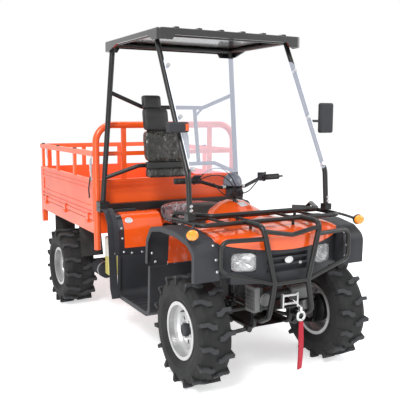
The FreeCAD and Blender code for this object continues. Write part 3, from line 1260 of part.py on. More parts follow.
def canopy_roof():
    """A ribbed tray roof with rounded corners and skirts that drop at their ends."""
    sheet_z = ROOF_TOP_Z - ROOF_RIB_H
    rear = PILLAR_Y + ROOF_TAIL
    low = ROOF_TOP_Z - ROOF_DEPTH
    outer = block(-ROOF_HALF_W, ROOF_HALF_W, ROOF_FRONT, rear, low, sheet_z)
    outer = rounded(outer, ROOF_CORNER, lambda box: box.ZLength > ROOF_RIB_H)
    outer = rounded(outer, ROOF_WALL * 1.5, lambda box: box.ZMin > sheet_z - RUN_GAP)
    wall = ROOF_WALL * 2
    inner = block(-ROOF_HALF_W + wall, ROOF_HALF_W - wall, ROOF_FRONT + wall, rear - wall, low - CUT_OVER,
                  sheet_z - ROOF_WALL)
    ribs = []
    for share in ROOF_RIB_SHARES:
        x = ROOF_HALF_W * share
        rib = [point(x - ROOF_RIB_W / 2, ROOF_FRONT + wall, sheet_z - RUN_GAP),
               point(x + ROOF_RIB_W / 2, ROOF_FRONT + wall, sheet_z - RUN_GAP),
               point(x + ROOF_RIB_W / 3, ROOF_FRONT + wall, ROOF_TOP_Z),
               point(x - ROOF_RIB_W / 3, ROOF_FRONT + wall, ROOF_TOP_Z)]
        ribs.append(prism(rib, Vector(0, rear - ROOF_FRONT - wall * 3, 0)))
    body = fused([outer.cut(inner)] + ribs)
    side = [(ROOF_FRONT + SKIRT_TAB, low), (ROOF_FRONT + SKIRT_TAB * 2, low + SKIRT_RISE),
            (rear - SKIRT_TAB * 3, low + SKIRT_RISE),
            (rear - SKIRT_TAB * 1.2, low), (rear - SKIRT_TAB * 1.2, low - CUT_OVER),
            (ROOF_FRONT + SKIRT_TAB, low - CUT_OVER)]
    body = body.cut(prism_x(side, -ROOF_HALF_W - CUT_OVER, ROOF_HALF_W + CUT_OVER))
    end = [point(x, ROOF_FRONT - CUT_OVER, z) for x, z in
           ((SKIRT_TAB - ROOF_HALF_W, low - CUT_OVER),
            (SKIRT_TAB * 1.4 - ROOF_HALF_W, low + SKIRT_RISE * 0.8),
            (ROOF_HALF_W - SKIRT_TAB * 1.4, low + SKIRT_RISE * 0.8),
            (ROOF_HALF_W - SKIRT_TAB, low - CUT_OVER))]
    return body.cut(prism(end, Vector(0, rear - ROOF_FRONT + CUT_OVER * 2, 0)))


def screen_axes():
    """The windscreen's outward normal and its run up the pillars."""
    run = (a_pillar_point(1, A_TOP_Z) - a_pillar_point(1, A_KNEE_Z)).normalize()
    return Vector(0, -run.z, run.y), run


def screen_seats():
    """Where the clamps' axes leave the pillars' plane, three a side."""
    seats = []
    for side in (-1, 1):
        for share in SCREEN_SEAT_SHARES:
            on_pillar = a_pillar_point(side, part_way(A_KNEE_Z, A_TOP_Z, share))
            seats.append(Vector(side * (SCREEN_HALF_W - SCREEN_SEAT_INSET), on_pillar.y, on_pillar.z))
    return seats


def windscreen():
    """A flat clear sheet with rounded corners and a hole for each clamp."""
    normal, run = screen_axes()
    base = a_pillar_point(1, A_KNEE_Z) + normal * (A_PILLAR_R + SCREEN_STANDOFF) + run * (PANEL_T + RUN_GAP)
    corner = Vector(-SCREEN_HALF_W, base.y, base.z)
    across = Vector(2 * SCREEN_HALF_W, 0, 0)
    up = run * SCREEN_L
    sheet = prism([corner, corner + across, corner + across + up, corner + up], normal * SCREEN_T)
    thin = [edge for edge in sheet.Edges if edge.Length < SCREEN_T * 1.5]
    sheet = sheet.makeFillet(SCREEN_CORNER, thin)
    holes = [rod(seat, seat + normal * SCREEN_STANDOFF * 5,
                 CLAMP_STEM_R + SEAT_GAP) for seat in screen_seats()]
    return sheet.cut(Part.makeCompound(holes))


def windscreen_clamps():
    """A stem through the sheet with a collar behind it and a cap in front, on each seat."""
    normal, _ = screen_axes()
    back = A_PILLAR_R + SCREEN_STANDOFF
    shapes = []
    for seat in screen_seats():
        root = seat + normal * (A_PILLAR_R * 0.6)
        front = back + SCREEN_T
        clamp = fused([rod(root, seat + normal * (front + CLAMP_R / 2), CLAMP_STEM_R),
                       rod(root, seat + normal * (back - SEAT_GAP), CLAMP_R * 0.9),
                       rod(seat + normal * (front + SEAT_GAP), seat + normal * (front + CLAMP_R / 2),
                           CLAMP_R)])
        side = 1 if seat.x > 0 else -1
        pillar = rod(a_pillar_point(side, A_KNEE_Z - CLAMP_R * 8), a_pillar_point(side, A_TOP_Z),
                     A_PILLAR_R + SEAT_GAP)
        shapes.append(clamp.cut(pillar))
    return Part.makeCompound(shapes)


def mirror_head(x, y, z, width, height):
    head = block(x - width / 2, x + width / 2, y - MIRROR_T / 2, y + MIRROR_T / 2, z - height / 2,
                 z + height / 2)
    return rounded(head, MIRROR_ROUND, lambda box: True)


def mirrors():
    """The left mirror turned out and the right one folded in, on arms from the pillars."""
    arm_z = MIRROR_Z - MIRROR_H * 0.1
    left = mirror_head(MIRROR_X, MIRROR_Y, MIRROR_Z, MIRROR_W, MIRROR_H)
    left_arm = rod(a_pillar_point(1, arm_z), point(MIRROR_X - MIRROR_W / 3, MIRROR_Y, arm_z), MIRROR_ARM_R)
    right = mirror_head(-FOLDED_X, FOLDED_Y, FOLDED_Z, FOLDED_W, FOLDED_H)
    right_arm = rod(point(-FOLDED_X, FOLDED_Y + MIRROR_T / 4, FOLDED_Z),
                    a_pillar_point(-1, FOLDED_Z + MIRROR_ARM_R), MIRROR_ARM_R)
    pillars = [rod(a_pillar_point(side, A_KNEE_Z), a_pillar_point(side, A_TOP_Z),
                   A_PILLAR_R + SEAT_GAP) for side in (-1, 1)]
    return Part.makeCompound([right.fuse(right_arm).cut(pillars[0]), left.fuse(left_arm).cut(pillars[1])])


def lean(z):
    """Where the seat back's tubes stand at a height."""
    share = (z - LOWER_CROSS_Z) / (UPPER_CROSS_Z - LOWER_CROSS_Z)
    return part_way(LOWER_CROSS_Y, UPPER_CROSS_Y, share)


def back_block(x0, x1, z0, z1, near, far):
    """A slab across the seat back that leans with its tubes, between two distances ahead of them."""
    line = [(lean(z0) - far, z0), (lean(z0) - near, z0), (lean(z1) - near, z1), (lean(z1) - far, z1)]
    return prism_x(line, x0, x1)


def backrest():
    """A board on the seat back's tubes with four stacked pads."""
    lean_share = (UPPER_CROSS_Y - LOWER_CROSS_Y) / (UPPER_CROSS_Z - LOWER_CROSS_Z)
    near = CROSS_TUBE_R * math.sqrt(1 + lean_share ** 2) + SEAT_GAP
    face = near + BACK_BOARD_T - RUN_GAP
    parts = [back_block(BACK_BOARD_X - BACK_BOARD_HALF_W, BACK_BOARD_X + BACK_BOARD_HALF_W, BACK_LOW_Z,
                        BACK_TOP_Z - BACK_ROUND,
                        near, near + BACK_BOARD_T)]
    for left, right, low, high, depth in PAD_SHARES:
        pad = back_block(BACK_X + BACK_HALF_W * left, BACK_X + BACK_HALF_W * right,
                         part_way(BACK_LOW_Z, BACK_TOP_Z, low),
                         part_way(BACK_LOW_Z, BACK_TOP_Z, high), face, face + BACK_T * depth)
        parts.append(rounded(pad, BACK_ROUND,
                             lambda box: box.YLength > BACK_T * 0.7 and box.ZLength < BACK_T))
    return fused(parts)


def handlebar():
    """Column, risen bar with swept grips, perches, and a lever in front of each grip."""
    half = [(BAR_END_X, BAR_END_Y, BAR_RISE_Z), (BAR_RISE_X, BAR_RISE_Y, BAR_RISE_Z),
            (BAR_MID_HALF_W, BAR_MID_Y, BAR_MID_Z)]
    bar = [point(-px, py, pz) for px, py, pz in half] + [point(px, py, pz) for px, py, pz in half[::-1]]
    parts = [tube(bar, BAR_R, BAR_BEND),
             rod(column_point(COLUMN_FOOT_Z), column_point(COLUMN_TOP_Z), COLUMN_R)]
    sweep = Vector(BAR_END_X - BAR_RISE_X, BAR_END_Y - BAR_RISE_Y, 0).normalize()
    for side in (-1, 1):
        along = Vector(side * sweep.x, sweep.y, 0)
        end = point(side * BAR_END_X, BAR_END_Y, BAR_RISE_Z)
        grip = end - along * GRIP_L
        perch = grip - along * (PERCH_L / 2)
        parts.append(rod(grip, end, GRIP_R))
        parts.append(rod(perch, perch + along * PERCH_L * 0.45, PERCH_R))
        ahead = Vector(0, -LEVER_REACH, LEVER_R)
        lever = [perch, perch + ahead + along * LEVER_R, end + ahead * 1.2 - along * LEVER_R]
        parts.append(tube(lever, LEVER_R, LEVER_R * 3))
    return fused(parts)


def instrument_pod():
    """A teardrop shell on the middle of the bar, flat below."""
    base = BAR_MID_Z + BAR_R + SEAT_GAP
    wires = []
    for along, size in POD_SHARES:
        y = POD_FRONT + POD_L * along
        left, right = point(-POD_W / 2 * size, y, base), point(POD_W / 2 * size, y, base)
        top = point(0, y, part_way(base, POD_TOP_Z, size))
        wires.append(Part.Wire([Part.Arc(left, top, right).toShape(),
                                Part.LineSegment(right, left).toShape()]))
    return Part.makeLoft(wires, True, False)


def bed_start():
    """Where the bed's floor and sills begin, behind the headboard's hoop."""
    return CAB_LENGTH + 2 * HOOP_R + SEAT_GAP


def pin_x():
    return BED_HALF_W + HINGE_R


def side_hinges():
    start = bed_start()
    end = BED_REAR - POST_W
    return [part_way(start, end, share) for share in (0.09, 0.5, 0.91)]


def tail_hinges():
    return [BED_HALF_W * share for share in (-0.72, 0.0, 0.72)]


def side_hinge_fixed(side, y):
    """The pin and two ears of one side hinge."""
    ends = HINGE_L / 2
    parts = [rod(point(side * pin_x(), y - ends, PIN_Z), point(side * pin_x(), y + ends, PIN_Z),
                 HINGE_PIN_R)]
    for end in (-1, 1):
        ear_y = y + end * HINGE_L * EAR_SHARE
        parts.append(block(side * (BED_HALF_W - WELD_LAP / 2), side * (pin_x() + HINGE_R),
                           ear_y - HINGE_L / 10, ear_y + HINGE_L / 10,
                           PIN_Z - HINGE_R, PIN_Z + HINGE_R * 0.7))
    return parts


def tail_hinge_fixed(x):
    """The pin and two ears of one tailgate hinge."""
    y = BED_REAR + HINGE_R
    parts = [rod(point(x - HINGE_L / 2, y, PIN_Z), point(x + HINGE_L / 2, y, PIN_Z), HINGE_PIN_R)]
    for end in (-1, 1):
        ear_x = x + end * HINGE_L * EAR_SHARE
        parts.append(block(ear_x - HINGE_L / 10, ear_x + HINGE_L / 10, BED_REAR - STEP_GAP, y + HINGE_R,
                           PIN_Z - HINGE_R, PIN_Z + HINGE_R * 0.7))
    return parts


def bed_stringer(side):
    """One box stringer under the cross members, with the ear that turns on the rail's pin."""
    top = SILL_BOTTOM_Z - SEAT_GAP
    beam = block(side * (RAIL_X - RAIL_W / 2), side * (RAIL_X + RAIL_W / 2), bed_start() + CUT_OVER,
                 BED_REAR - SILL_W, RAIL_BOTTOM_Z + RAIL_H + SEAT_GAP, top)
    near = side * (RAIL_X + RAIL_W / 2 + (TIP_PIN_L - TIP_EAR_T) * 0.8)
    far = near + side * TIP_EAR_T
    ear = (TIP - TIP_EAR_R, TIP + TIP_EAR_R)
    plate = block(near, far, *ear, TIP_Z, top)
    eye = rod(point(near, TIP, TIP_Z), point(far, TIP, TIP_Z), TIP_EAR_R)
    pad = block(side * RAIL_X, far, *ear, top - WELD_LAP * 2, top)
    hole = rod(point(near - side * CUT_OVER, TIP, TIP_Z), point(far + side * CUT_OVER, TIP, TIP_Z),
               TIP_PIN_R + RUN_GAP)
    return fused([beam, plate, eye, pad]).cut(hole)


def rear_post(side):
    """One rear post of the bed, with the round stub at its back."""
    edge = side * BED_HALF_W
    inner = side * (BED_HALF_W - POST_W)
    x = (edge + inner) / 2
    z = SILL_BOTTOM_Z - STUB_DROP
    upright = block(edge, inner, BED_REAR - POST_W, BED_REAR, SILL_BOTTOM_Z - POST_DROP,
                    SILL_TOP_Z + PANEL_H)
    stub = rod(point(x, BED_REAR - WELD_LAP, z), point(x, BED_REAR + STUB_LENGTH, z), STUB_R)
    return fused([upright, stub])


def bed_frame():
    """Sills with their fixed hinge halves, cross members, rear posts and stringers."""
    z0, z1 = SILL_BOTTOM_Z, SILL_TOP_Z
    front = bed_start()
    rear = BED_REAR - POST_W - SEAT_GAP
    inner = BED_HALF_W - SILL_W
    half = BED_HALF_W - POST_W - SEAT_GAP
    tail = [block(-half, half, BED_REAR - SILL_W, BED_REAR - GATE_PROUD, z0, z1)]
    for x in tail_hinges():
        tail += tail_hinge_fixed(x)
    members = [fused(tail)]
    reach = inner - SEAT_GAP
    pitch = (rear - front - CROSS_W) / (CROSS_COUNT - 1)
    for index in range(CROSS_COUNT):
        y = front + pitch * index
        members.append(block(-reach, reach, y, y + CROSS_W, z0, z0 + CROSS_H))
    for side in (-1, 1):
        sill = [block(side * BED_HALF_W, side * inner, front, rear, z0, z1)]
        for y in side_hinges():
            sill += side_hinge_fixed(side, y)
        members += [fused(sill), rear_post(side), bed_stringer(side)]
    return Part.makeCompound(members)


def bed_floor():
    """The floor sheet that lies on the cross members."""
    inner = BED_HALF_W - SILL_W - SEAT_GAP
    z = SILL_BOTTOM_Z + CROSS_H + SEAT_GAP / 10
    return block(-inner, inner, bed_start(), BED_REAR - POST_W - SEAT_GAP, z, z + FLOOR_T)


def pressing(half_l, low, high):
    """Places of the sunk bands of a pressed panel, as (half length, bottom, top)."""
    bands = ((0.07, 0.135, 0.97), (0.175, 0.24, 0.97), (0.31, 0.66, 0.93), (0.73, 0.795, 0.97),
             (0.835, 0.90, 0.97))
    return [(half_l * along, part_way(high, low, start), part_way(high, low, end)) for start, end,
            along in bands]


def side_gate():
    """The left drop side: pressed panel, slats, top rail and hinge knuckles."""
    outer = BED_HALF_W + GATE_PROUD
    inner = outer - GATE_T
    y0 = bed_start() + GATE_LIFT - SEAT_GAP
    y1 = BED_REAR - POST_W - GATE_LIFT
    z0 = SILL_TOP_Z + GATE_LIFT
    z1 = SILL_TOP_Z + PANEL_H
    top = z1 + RAIL_GAP
    panel = block(inner, outer, y0, y1, z0, z1)
    middle = (y0 + y1) / 2
    for half, low, high in pressing((y1 - y0) / 2, z0, z1):
        panel = panel.cut(block(outer - PRESS_DEPTH, outer + CUT_OVER, middle - half, middle + half, low,
                                high))
    members = [block(inner, outer, y0, BED_REAR, top, top + TOP_RAIL_H)]
    for share in (0.0, 1 / 3, 2 / 3):
        y = y1 - SLAT_W - (y1 - y0) * share
        members.append(block(inner + SLAT_SETBACK, outer, y, y + SLAT_W, z1 + SEAT_GAP, top - SEAT_GAP))
    parts = [panel]
    knuckle_half = HINGE_L * KNUCKLE_SHARE
    pins = []
    for y in side_hinges():
        parts.append(rod(point(pin_x(), y - knuckle_half, PIN_Z), point(pin_x(), y + knuckle_half, PIN_Z),
                         HINGE_R))
        parts.append(block(outer, pin_x(), y - knuckle_half, y + knuckle_half, PIN_Z,
                           PIN_Z + HINGE_STRAP_H))
        pins.append(rod(point(pin_x(), y - HINGE_L, PIN_Z), point(pin_x(), y + HINGE_L, PIN_Z),
                        HINGE_PIN_R + RUN_GAP))
    return Part.makeCompound([fused(parts).cut(Part.makeCompound(pins))] + members)


def tailgate():
    """The tailgate, pressed like the drop sides, with its own rail, slats and hinge knuckles."""
    outer = BED_REAR + GATE_PROUD
    inner = outer - GATE_T
    half = BED_HALF_W - POST_W - GATE_LIFT
    z0 = SILL_TOP_Z + GATE_LIFT
    z1 = SILL_TOP_Z + PANEL_H
    top = z1 + RAIL_GAP
    panel = block(-half, half, inner, outer, z0, z1)
    for reach, low, high in pressing(half, z0, z1):
        panel = panel.cut(block(-reach, reach, outer - PRESS_DEPTH, outer + CUT_OVER, low, high))
    members = [block(-half, half, inner, outer, top, top + TOP_RAIL_H)]
    for share in (-0.94, -0.33, 0.33, 0.94):
        x = half * share
        members.append(block(x - SLAT_W / 2, x + SLAT_W / 2, inner + SLAT_SETBACK, outer, z1 + SEAT_GAP,
                             top - SEAT_GAP))
    parts = [panel]
    y = BED_REAR + HINGE_R
    knuckle_half = HINGE_L * KNUCKLE_SHARE
    pins = []
    for x in tail_hinges():
        parts.append(rod(point(x - knuckle_half, y, PIN_Z), point(x + knuckle_half, y, PIN_Z), HINGE_R))
        parts.append(block(x - knuckle_half, x + knuckle_half, outer, y, PIN_Z, PIN_Z + HINGE_STRAP_H))
        pins.append(rod(point(x - HINGE_L, y, PIN_Z), point(x + HINGE_L, y, PIN_Z), HINGE_PIN_R + RUN_GAP))
    return Part.makeCompound([fused(parts).cut(Part.makeCompound(pins))] + members)


def bed_headboard():
    """A rounded hoop with a pressed panel, a bar and two slats."""
    x = BED_HALF_W + GATE_PROUD - HOOP_R + GATE_LIFT
    y = CAB_LENGTH + HOOP_R
    foot = SILL_BOTTOM_Z - POST_DROP - STEP_GAP
    top = HOOP_TOP_Z - HOOP_R
    z1 = SILL_TOP_Z + PANEL_H
    panel = block(-x, x, y - HOOP_R / 2, y + HOOP_R / 2, SILL_BOTTOM_Z, z1)
    for reach, low, high in pressing(x - HOOP_R, SILL_TOP_Z, z1):
        panel = panel.cut(block(-reach, reach, y - HOOP_R, y - HOOP_R / 2 + PRESS_DEPTH, low, high))
    parts = [tube([point(-x, y, foot), point(-x, y, top), point(x, y, top), point(x, y, foot)], HOOP_R,
                  HOOP_BEND), panel,
             block(-x, x, y - HEAD_BAR_T / 2, y + HEAD_BAR_T / 2, HEAD_BAR_Z - HEAD_BAR_H / 2,
                   HEAD_BAR_Z + HEAD_BAR_H / 2)]
    for side in (-1, 1):
        middle = side * HEAD_SLAT_X
        parts.append(block(middle - SLAT_W / 2, middle + SLAT_W / 2, y - HEAD_BAR_T * 0.45,
                           y + HEAD_BAR_T * 0.45, z1 - WELD_LAP, top))
    return fused(parts)


def mud_flaps():
    """Flat flaps behind and in front of each rear wheel, hung from the sills."""
    top = SILL_BOTTOM_Z - SEAT_GAP
    outer = BED_HALF_W - STEP_GAP
    rear_y = WHEELBASE + REAR_TYRE_R + FLAP_REAR_GAP
    rear = block(FLAP_INNER_X, outer, rear_y, rear_y + FLAP_T, top - FLAP_H, top)
    front_y = WHEELBASE - REAR_TYRE_R - FLAP_TYRE_GAP
    slope = [(front_y, top - FLAP_FRONT_H), (front_y + FLAP_T, top - FLAP_FRONT_H),
             (front_y + FLAP_SLOPE + FLAP_T, top),
             (front_y + FLAP_SLOPE, top)]
    return both(Part.makeCompound([rear, prism_x(slope, FLAP_INNER_X, outer)]))


os.makedirs("parts", exist_ok=True)
wheel_pair("front", 0, FRONT_TYRE_R, FRONT_TYRE_W, FRONT_FACE_X, FRONT_RIM_R)
wheel_pair("rear", WHEELBASE, REAR_TYRE_R, REAR_TYRE_W, REAR_FACE_X, REAR_RIM_R)
left_knuckle = knuckle()
save("left_knuckle", left_knuckle)
save("right_knuckle", mirrored(left_knuckle))
left_gate = side_gate()
save("left_gate", left_gate)
save("right_gate", mirrored(left_gate))
MAKERS = (front_suspension, tie_rods, main_frame, bed_rails, side_brackets, rear_axle, engine_block,
          skid_plate,
          front_bumper, front_rack, winch, winch_hook, winch_strap, hood, tank_cover, saddle, front_fascia,
          headlamps, signal_lamps, front_flares, fender_panels, footwells, canopy_frame, canopy_roof,
          windscreen,
          windscreen_clamps, mirrors, backrest, handlebar, instrument_pod, air_canister, washer_bottle,
          bed_frame, bed_floor, bed_headboard, mud_flaps, tailgate)
for maker in MAKERS:
    save(maker.__name__, maker())
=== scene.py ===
"""Dresses the farm quad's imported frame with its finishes, soft goods and small fittings."""

import json
import logging
import math
from collections.abc import Callable
from dataclasses import dataclass, replace
from enum import Enum

import bpy
from mathutils import Matrix, Vector, noise

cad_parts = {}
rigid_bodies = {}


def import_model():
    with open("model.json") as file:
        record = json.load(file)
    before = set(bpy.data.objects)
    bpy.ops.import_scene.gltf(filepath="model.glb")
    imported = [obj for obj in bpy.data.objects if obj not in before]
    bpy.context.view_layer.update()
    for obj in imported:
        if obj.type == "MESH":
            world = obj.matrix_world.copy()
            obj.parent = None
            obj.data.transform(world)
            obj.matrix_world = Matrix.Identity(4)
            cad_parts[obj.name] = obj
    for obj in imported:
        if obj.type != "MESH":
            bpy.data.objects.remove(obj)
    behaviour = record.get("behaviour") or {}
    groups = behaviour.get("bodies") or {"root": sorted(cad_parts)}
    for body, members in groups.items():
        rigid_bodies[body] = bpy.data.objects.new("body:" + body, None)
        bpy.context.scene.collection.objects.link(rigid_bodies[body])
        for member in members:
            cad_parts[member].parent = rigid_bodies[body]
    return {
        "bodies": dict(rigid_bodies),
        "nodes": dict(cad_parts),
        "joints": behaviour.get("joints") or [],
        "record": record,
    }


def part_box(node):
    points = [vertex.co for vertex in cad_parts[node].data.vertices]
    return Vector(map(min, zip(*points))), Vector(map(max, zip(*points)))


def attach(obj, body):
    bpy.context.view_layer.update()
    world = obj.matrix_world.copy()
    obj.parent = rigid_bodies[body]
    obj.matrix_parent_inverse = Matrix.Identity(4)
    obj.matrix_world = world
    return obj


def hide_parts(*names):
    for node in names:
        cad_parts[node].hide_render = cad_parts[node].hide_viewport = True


LOG = logging.getLogger("farm_quad")

Triple = tuple[float, float, float]
Colour = tuple[float, float, float]
Profile = tuple[tuple[float, float], ...]
Socket = bpy.types.NodeSocket
Thing = bpy.types.Object

AHEAD = Vector((0.0, -1.0, 0.0))
BEHIND = Vector((0.0, 1.0, 0.0))
UP = Vector((0.0, 0.0, 1.0))
ORIGIN = Vector((0.0, 0.0, 0.0))


class Side(Enum):
    """The vehicle's two sides, with the sign of X on each."""

    LEFT = 1
    RIGHT = -1

    @property
    def word(self) -> str:
        """The side's name as its pieces carry it."""
        return self.name.lower()

    @property
    def out(self) -> Vector:
        """The way out of the vehicle on this side."""
        return Vector((self.value, 0.0, 0.0))


class Pattern(Enum):
    """How a finish's fine relief is drawn: its texture's stretch, detail and distortion."""

    GRAIN = ((1.0, 1.0, 1.0), 3.0, 0.0)
    BRUSHED = ((1.0, 8.0, 8.0), 3.0, 0.0)
    STREAKS = ((9.0, 0.4, 0.4), 3.0, 0.0)
    CREASES = ((1.0, 1.0, 1.0), 8.0, 1.8)
    WEAVE = ((1.0, 1.0, 1.0), 2.0, 0.4)


class Graph:
    """Adds and links the nodes of one material or world."""

    def __init__(self, tree: bpy.types.NodeTree) -> None:
        """Keeps the tree's nodes and links."""
        self.nodes = tree.nodes
        self.links = tree.links

    def fill(self, node: bpy.types.Node, inputs: dict) -> bpy.types.Node:
        """Links or sets a node's inputs.

        Args:
            node: The node.
            inputs: A socket, number or colour for each input's name or place.

        Returns:
            The same node.
        """
        for key, value in inputs.items():
            socket = node.inputs[key]
            if isinstance(value, Socket):
                self.links.new(value, socket)
            else:
                socket.default_value = (*value, 1.0) if socket.type == "RGBA" else value
        return node

    def node(self, kind: str, inputs: dict, **options: str) -> bpy.types.Node:
        """Adds a node, sets its options and then its inputs.

        Args:
            kind: Its type, without the ShaderNode in front.
            inputs: What fill takes.
            options: Its own settings.

        Returns:
            The new node.
        """
        node = self.nodes.new(f"ShaderNode{kind}")
        for key, value in options.items():
            setattr(node, key, value)
        return self.fill(node, inputs)

    def maths(self, operation: str, first: Socket, second: Socket | float) -> Socket:
        """A sum, product or test of two numbers."""
        return self.node("Math", {0: first, 1: second}, operation=operation).outputs["Value"]

    def spread(self, value: Socket, low: float, high: float, to_low: float = 0.0,
               to_high: float = 1.0) -> Socket:
        """A number taken from one range to another."""
        node = self.node("MapRange", {"Value": value, "From Min": low, "From Max": high, "To Min": to_low,
                                      "To Max": to_high})
        return node.outputs["Result"]

    def mixed(self, factor: Socket, under: Socket | Colour, over: Colour) -> Socket:
        """One colour over another by a factor."""
        return self.node("Mix", {"Factor": factor, "A": under, "B": over}, data_type="RGBA").outputs["Result"]


@dataclass(frozen=True)
class Band:
    """A stretch along one object axis that has its own colour."""

    axis: str
    start: float
    end: float
    colour: Colour

    def over(self, graph: Graph, place: Socket, colour: Socket) -> Socket:
        """Lays the stretch over a colour.

        Args:
            graph: The material's nodes.
            place: The object coordinates.
            colour: The colour outside the stretch.

        Returns:
            The colour with the stretch in it.
        """
        along = graph.node("SeparateXYZ", {"Vector": place}).outputs[self.axis]
        inside = graph.maths("MULTIPLY", graph.maths("GREATER_THAN", along, self.start),
                             graph.maths("LESS_THAN", along, self.end))
        return graph.mixed(inside, colour, self.colour)


@dataclass(frozen=True)
class Crest:
    """The distance from a wheel's axle line past which a tyre's lug tops are painted lighter: a painted
    highlight on the tops against the darker grooves, which stand in for shade.
    """

    axle_y: float
    axle_z: float
    start: float
    # The painted highlight colour of the lug tops.
    colour: Colour = (0.042, 0.043, 0.046)
    fade: float = 0.006

    def over(self, graph: Graph, place: Socket, colour: Socket) -> Socket:
        """Lays the painted highlight of the lug tops over a tyre's colour.

        Args:
            graph: The material's nodes.
            place: The object coordinates.
            colour: The colour of the grooves and side walls.

        Returns:
            The colour with the painted highlight on the tops in it.
        """
        flat = graph.node("VectorMath", {0: place, 1: (0.0, 1.0, 1.0)}, operation="MULTIPLY")
        reach = graph.node("VectorMath", {0: flat.outputs["Vector"], 1: (0.0, self.axle_y, self.axle_z)},
                           operation="DISTANCE")
        share = graph.spread(reach.outputs["Value"], self.start, self.start + self.fade)
        return graph.mixed(share, colour, self.colour)


@dataclass(frozen=True)
class Finish:
    """A procedural surface: a colour with soft variation, uneven gloss and fine relief."""

    name: str
    colour: Colour
    second: Colour
    slot: str = ""
    roughness: float = 0.5
    roughness_spread: float = 0.1
    metallic: float = 0.0
    coat: float = 0.0
    coat_roughness: float = 0.06
    specular: float = 0.5
    pattern: Pattern = Pattern.GRAIN
    relief_scale: float = 400.0
    relief: float = 0.05
    relief_depth: float = 0.002
    patch_scale: float = 3.0
    patch_detail: float = 6.0
    patch_range: tuple[float, float] = (0.38, 0.62)
    alpha: float = 1.0
    sheen: float = 0.0
    # Emission in the surface's own colour; on the screen and its edges it is a painted reflection and
    # highlight.
    glow: float = 0.0
    edge_wear: float = 0.0
    wear_range: tuple[float, float] = (0.54, 0.66)
    wear_colour: Colour = (0.5, 0.5, 0.5)
    overlays: tuple[Band | Crest, ...] = ()

    def make(self) -> bpy.types.Material:
        """Builds the material's nodes.

        Returns:
            The finished material.
        """
        material = bpy.data.materials.new(self.name)
        material.use_nodes = True
        graph = Graph(material.node_tree)
        place = graph.node("TexCoord", {}).outputs["Object"]
        patches = graph.node("TexNoise", {"Scale": self.patch_scale, "Detail": self.patch_detail,
                                          "Vector": place}).outputs["Fac"]
        colour = graph.mixed(graph.spread(patches, *self.patch_range), self.colour, self.second)
        for overlay in self.overlays:
            colour = overlay.over(graph, place, colour)
        # Convex edges made lighter: partly real wear, partly a painted highlight.
        if self.edge_wear > 0.0:
            colour = self.worn(graph, patches, colour)
        gloss = graph.spread(patches, 0.0, 1.0, self.roughness - self.roughness_spread,
                             self.roughness + self.roughness_spread)
        bump = graph.node("Bump", {"Strength": self.relief, "Distance": self.relief_depth,
                                   "Height": self.relief_height(graph, place)})
        graph.fill(graph.nodes["Principled BSDF"], {
            "Base Color": colour, "Roughness": gloss, "Normal": bump.outputs["Normal"],
            "Metallic": self.metallic, "Coat Weight": self.coat, "Coat Roughness": self.coat_roughness,
            "Specular IOR Level": self.specular, "Sheen Weight": self.sheen, "Alpha": self.alpha,
            "Emission Color": self.colour, "Emission Strength": self.glow})
        return material

    def worn(self, graph: Graph, patches: Socket, colour: Socket) -> Socket:
        """Shows a lighter colour where the surface is sharply convex: partly real wear, partly a painted
        highlight on edges that catch the light.

        Args:
            graph: The material's nodes.
            patches: A soft noise that breaks the wear and the painted highlight up.
            colour: The colour under the wear.

        Returns:
            The colour with worn edges that also carry a painted highlight.
        """
        convex = graph.node("NewGeometry", {}).outputs["Pointiness"]
        edge = graph.spread(convex, *self.wear_range, 0.0, self.edge_wear)
        return graph.mixed(graph.maths("MULTIPLY", edge, patches), colour, self.wear_colour)

    def relief_height(self, graph: Graph, place: Socket) -> Socket:
        """Draws the fine relief of the finish.

        Args:
            graph: The material's nodes.
            place: The object coordinates.

        Returns:
            The socket that holds the height.
        """
        stretch, detail, distortion = self.pattern.value
        woven = self.pattern is Pattern.WEAVE
        kind, options = ("TexWave", {"bands_direction": "DIAGONAL"}) if woven else ("TexNoise", {})
        mapping = graph.node("Mapping", {"Vector": place, "Scale": stretch})
        texture = graph.node(kind, {"Vector": mapping.outputs["Vector"], "Scale": self.relief_scale,
                                    "Detail": detail, "Distortion": distortion}, **options)
        return texture.outputs["Fac"]


def grey(value: float) -> Colour:
    """A neutral colour of one level."""
    return (value, value, value)


# Its lighter convex edges are partly wear, partly a painted highlight.
ORANGE_PAINT = Finish("orange_paint", (0.90, 0.105, 0.012), (0.82, 0.085, 0.010), roughness=0.33,
                      roughness_spread=0.06, coat=0.25, relief_scale=220.0, edge_wear=0.35,
                      wear_colour=(0.95, 0.30, 0.15))
ORANGE_PLASTIC = Finish("orange_plastic", (0.92, 0.115, 0.013), (0.86, 0.095, 0.011), roughness=0.2,
                        roughness_spread=0.05, coat=0.6, relief_scale=120.0, relief=0.03)
FENDER_BLACK = (0.030, 0.031, 0.036)
FENDER = replace(ORANGE_PLASTIC, name="fender_plastic",
                 overlays=(Band("X", -0.60, -0.497, FENDER_BLACK), Band("X", 0.497, 0.60, FENDER_BLACK),
                           Band("Z", 0.0, 0.612, FENDER_BLACK)))
# Its lighter convex edges are partly wear, partly a painted highlight.
BLACK_STEEL = Finish("black_steel", grey(0.010), grey(0.016), "black_steel", roughness=0.34,
                     roughness_spread=0.08, specular=0.35, relief_scale=600.0, relief=0.12, edge_wear=0.3,
                     wear_colour=grey(0.10))
BLACK_PLASTIC = Finish("black_plastic", (0.026, 0.027, 0.031), (0.036, 0.037, 0.042), "black_plastic",
                       roughness_spread=0.08, specular=0.25, relief_scale=900.0, relief=0.22)
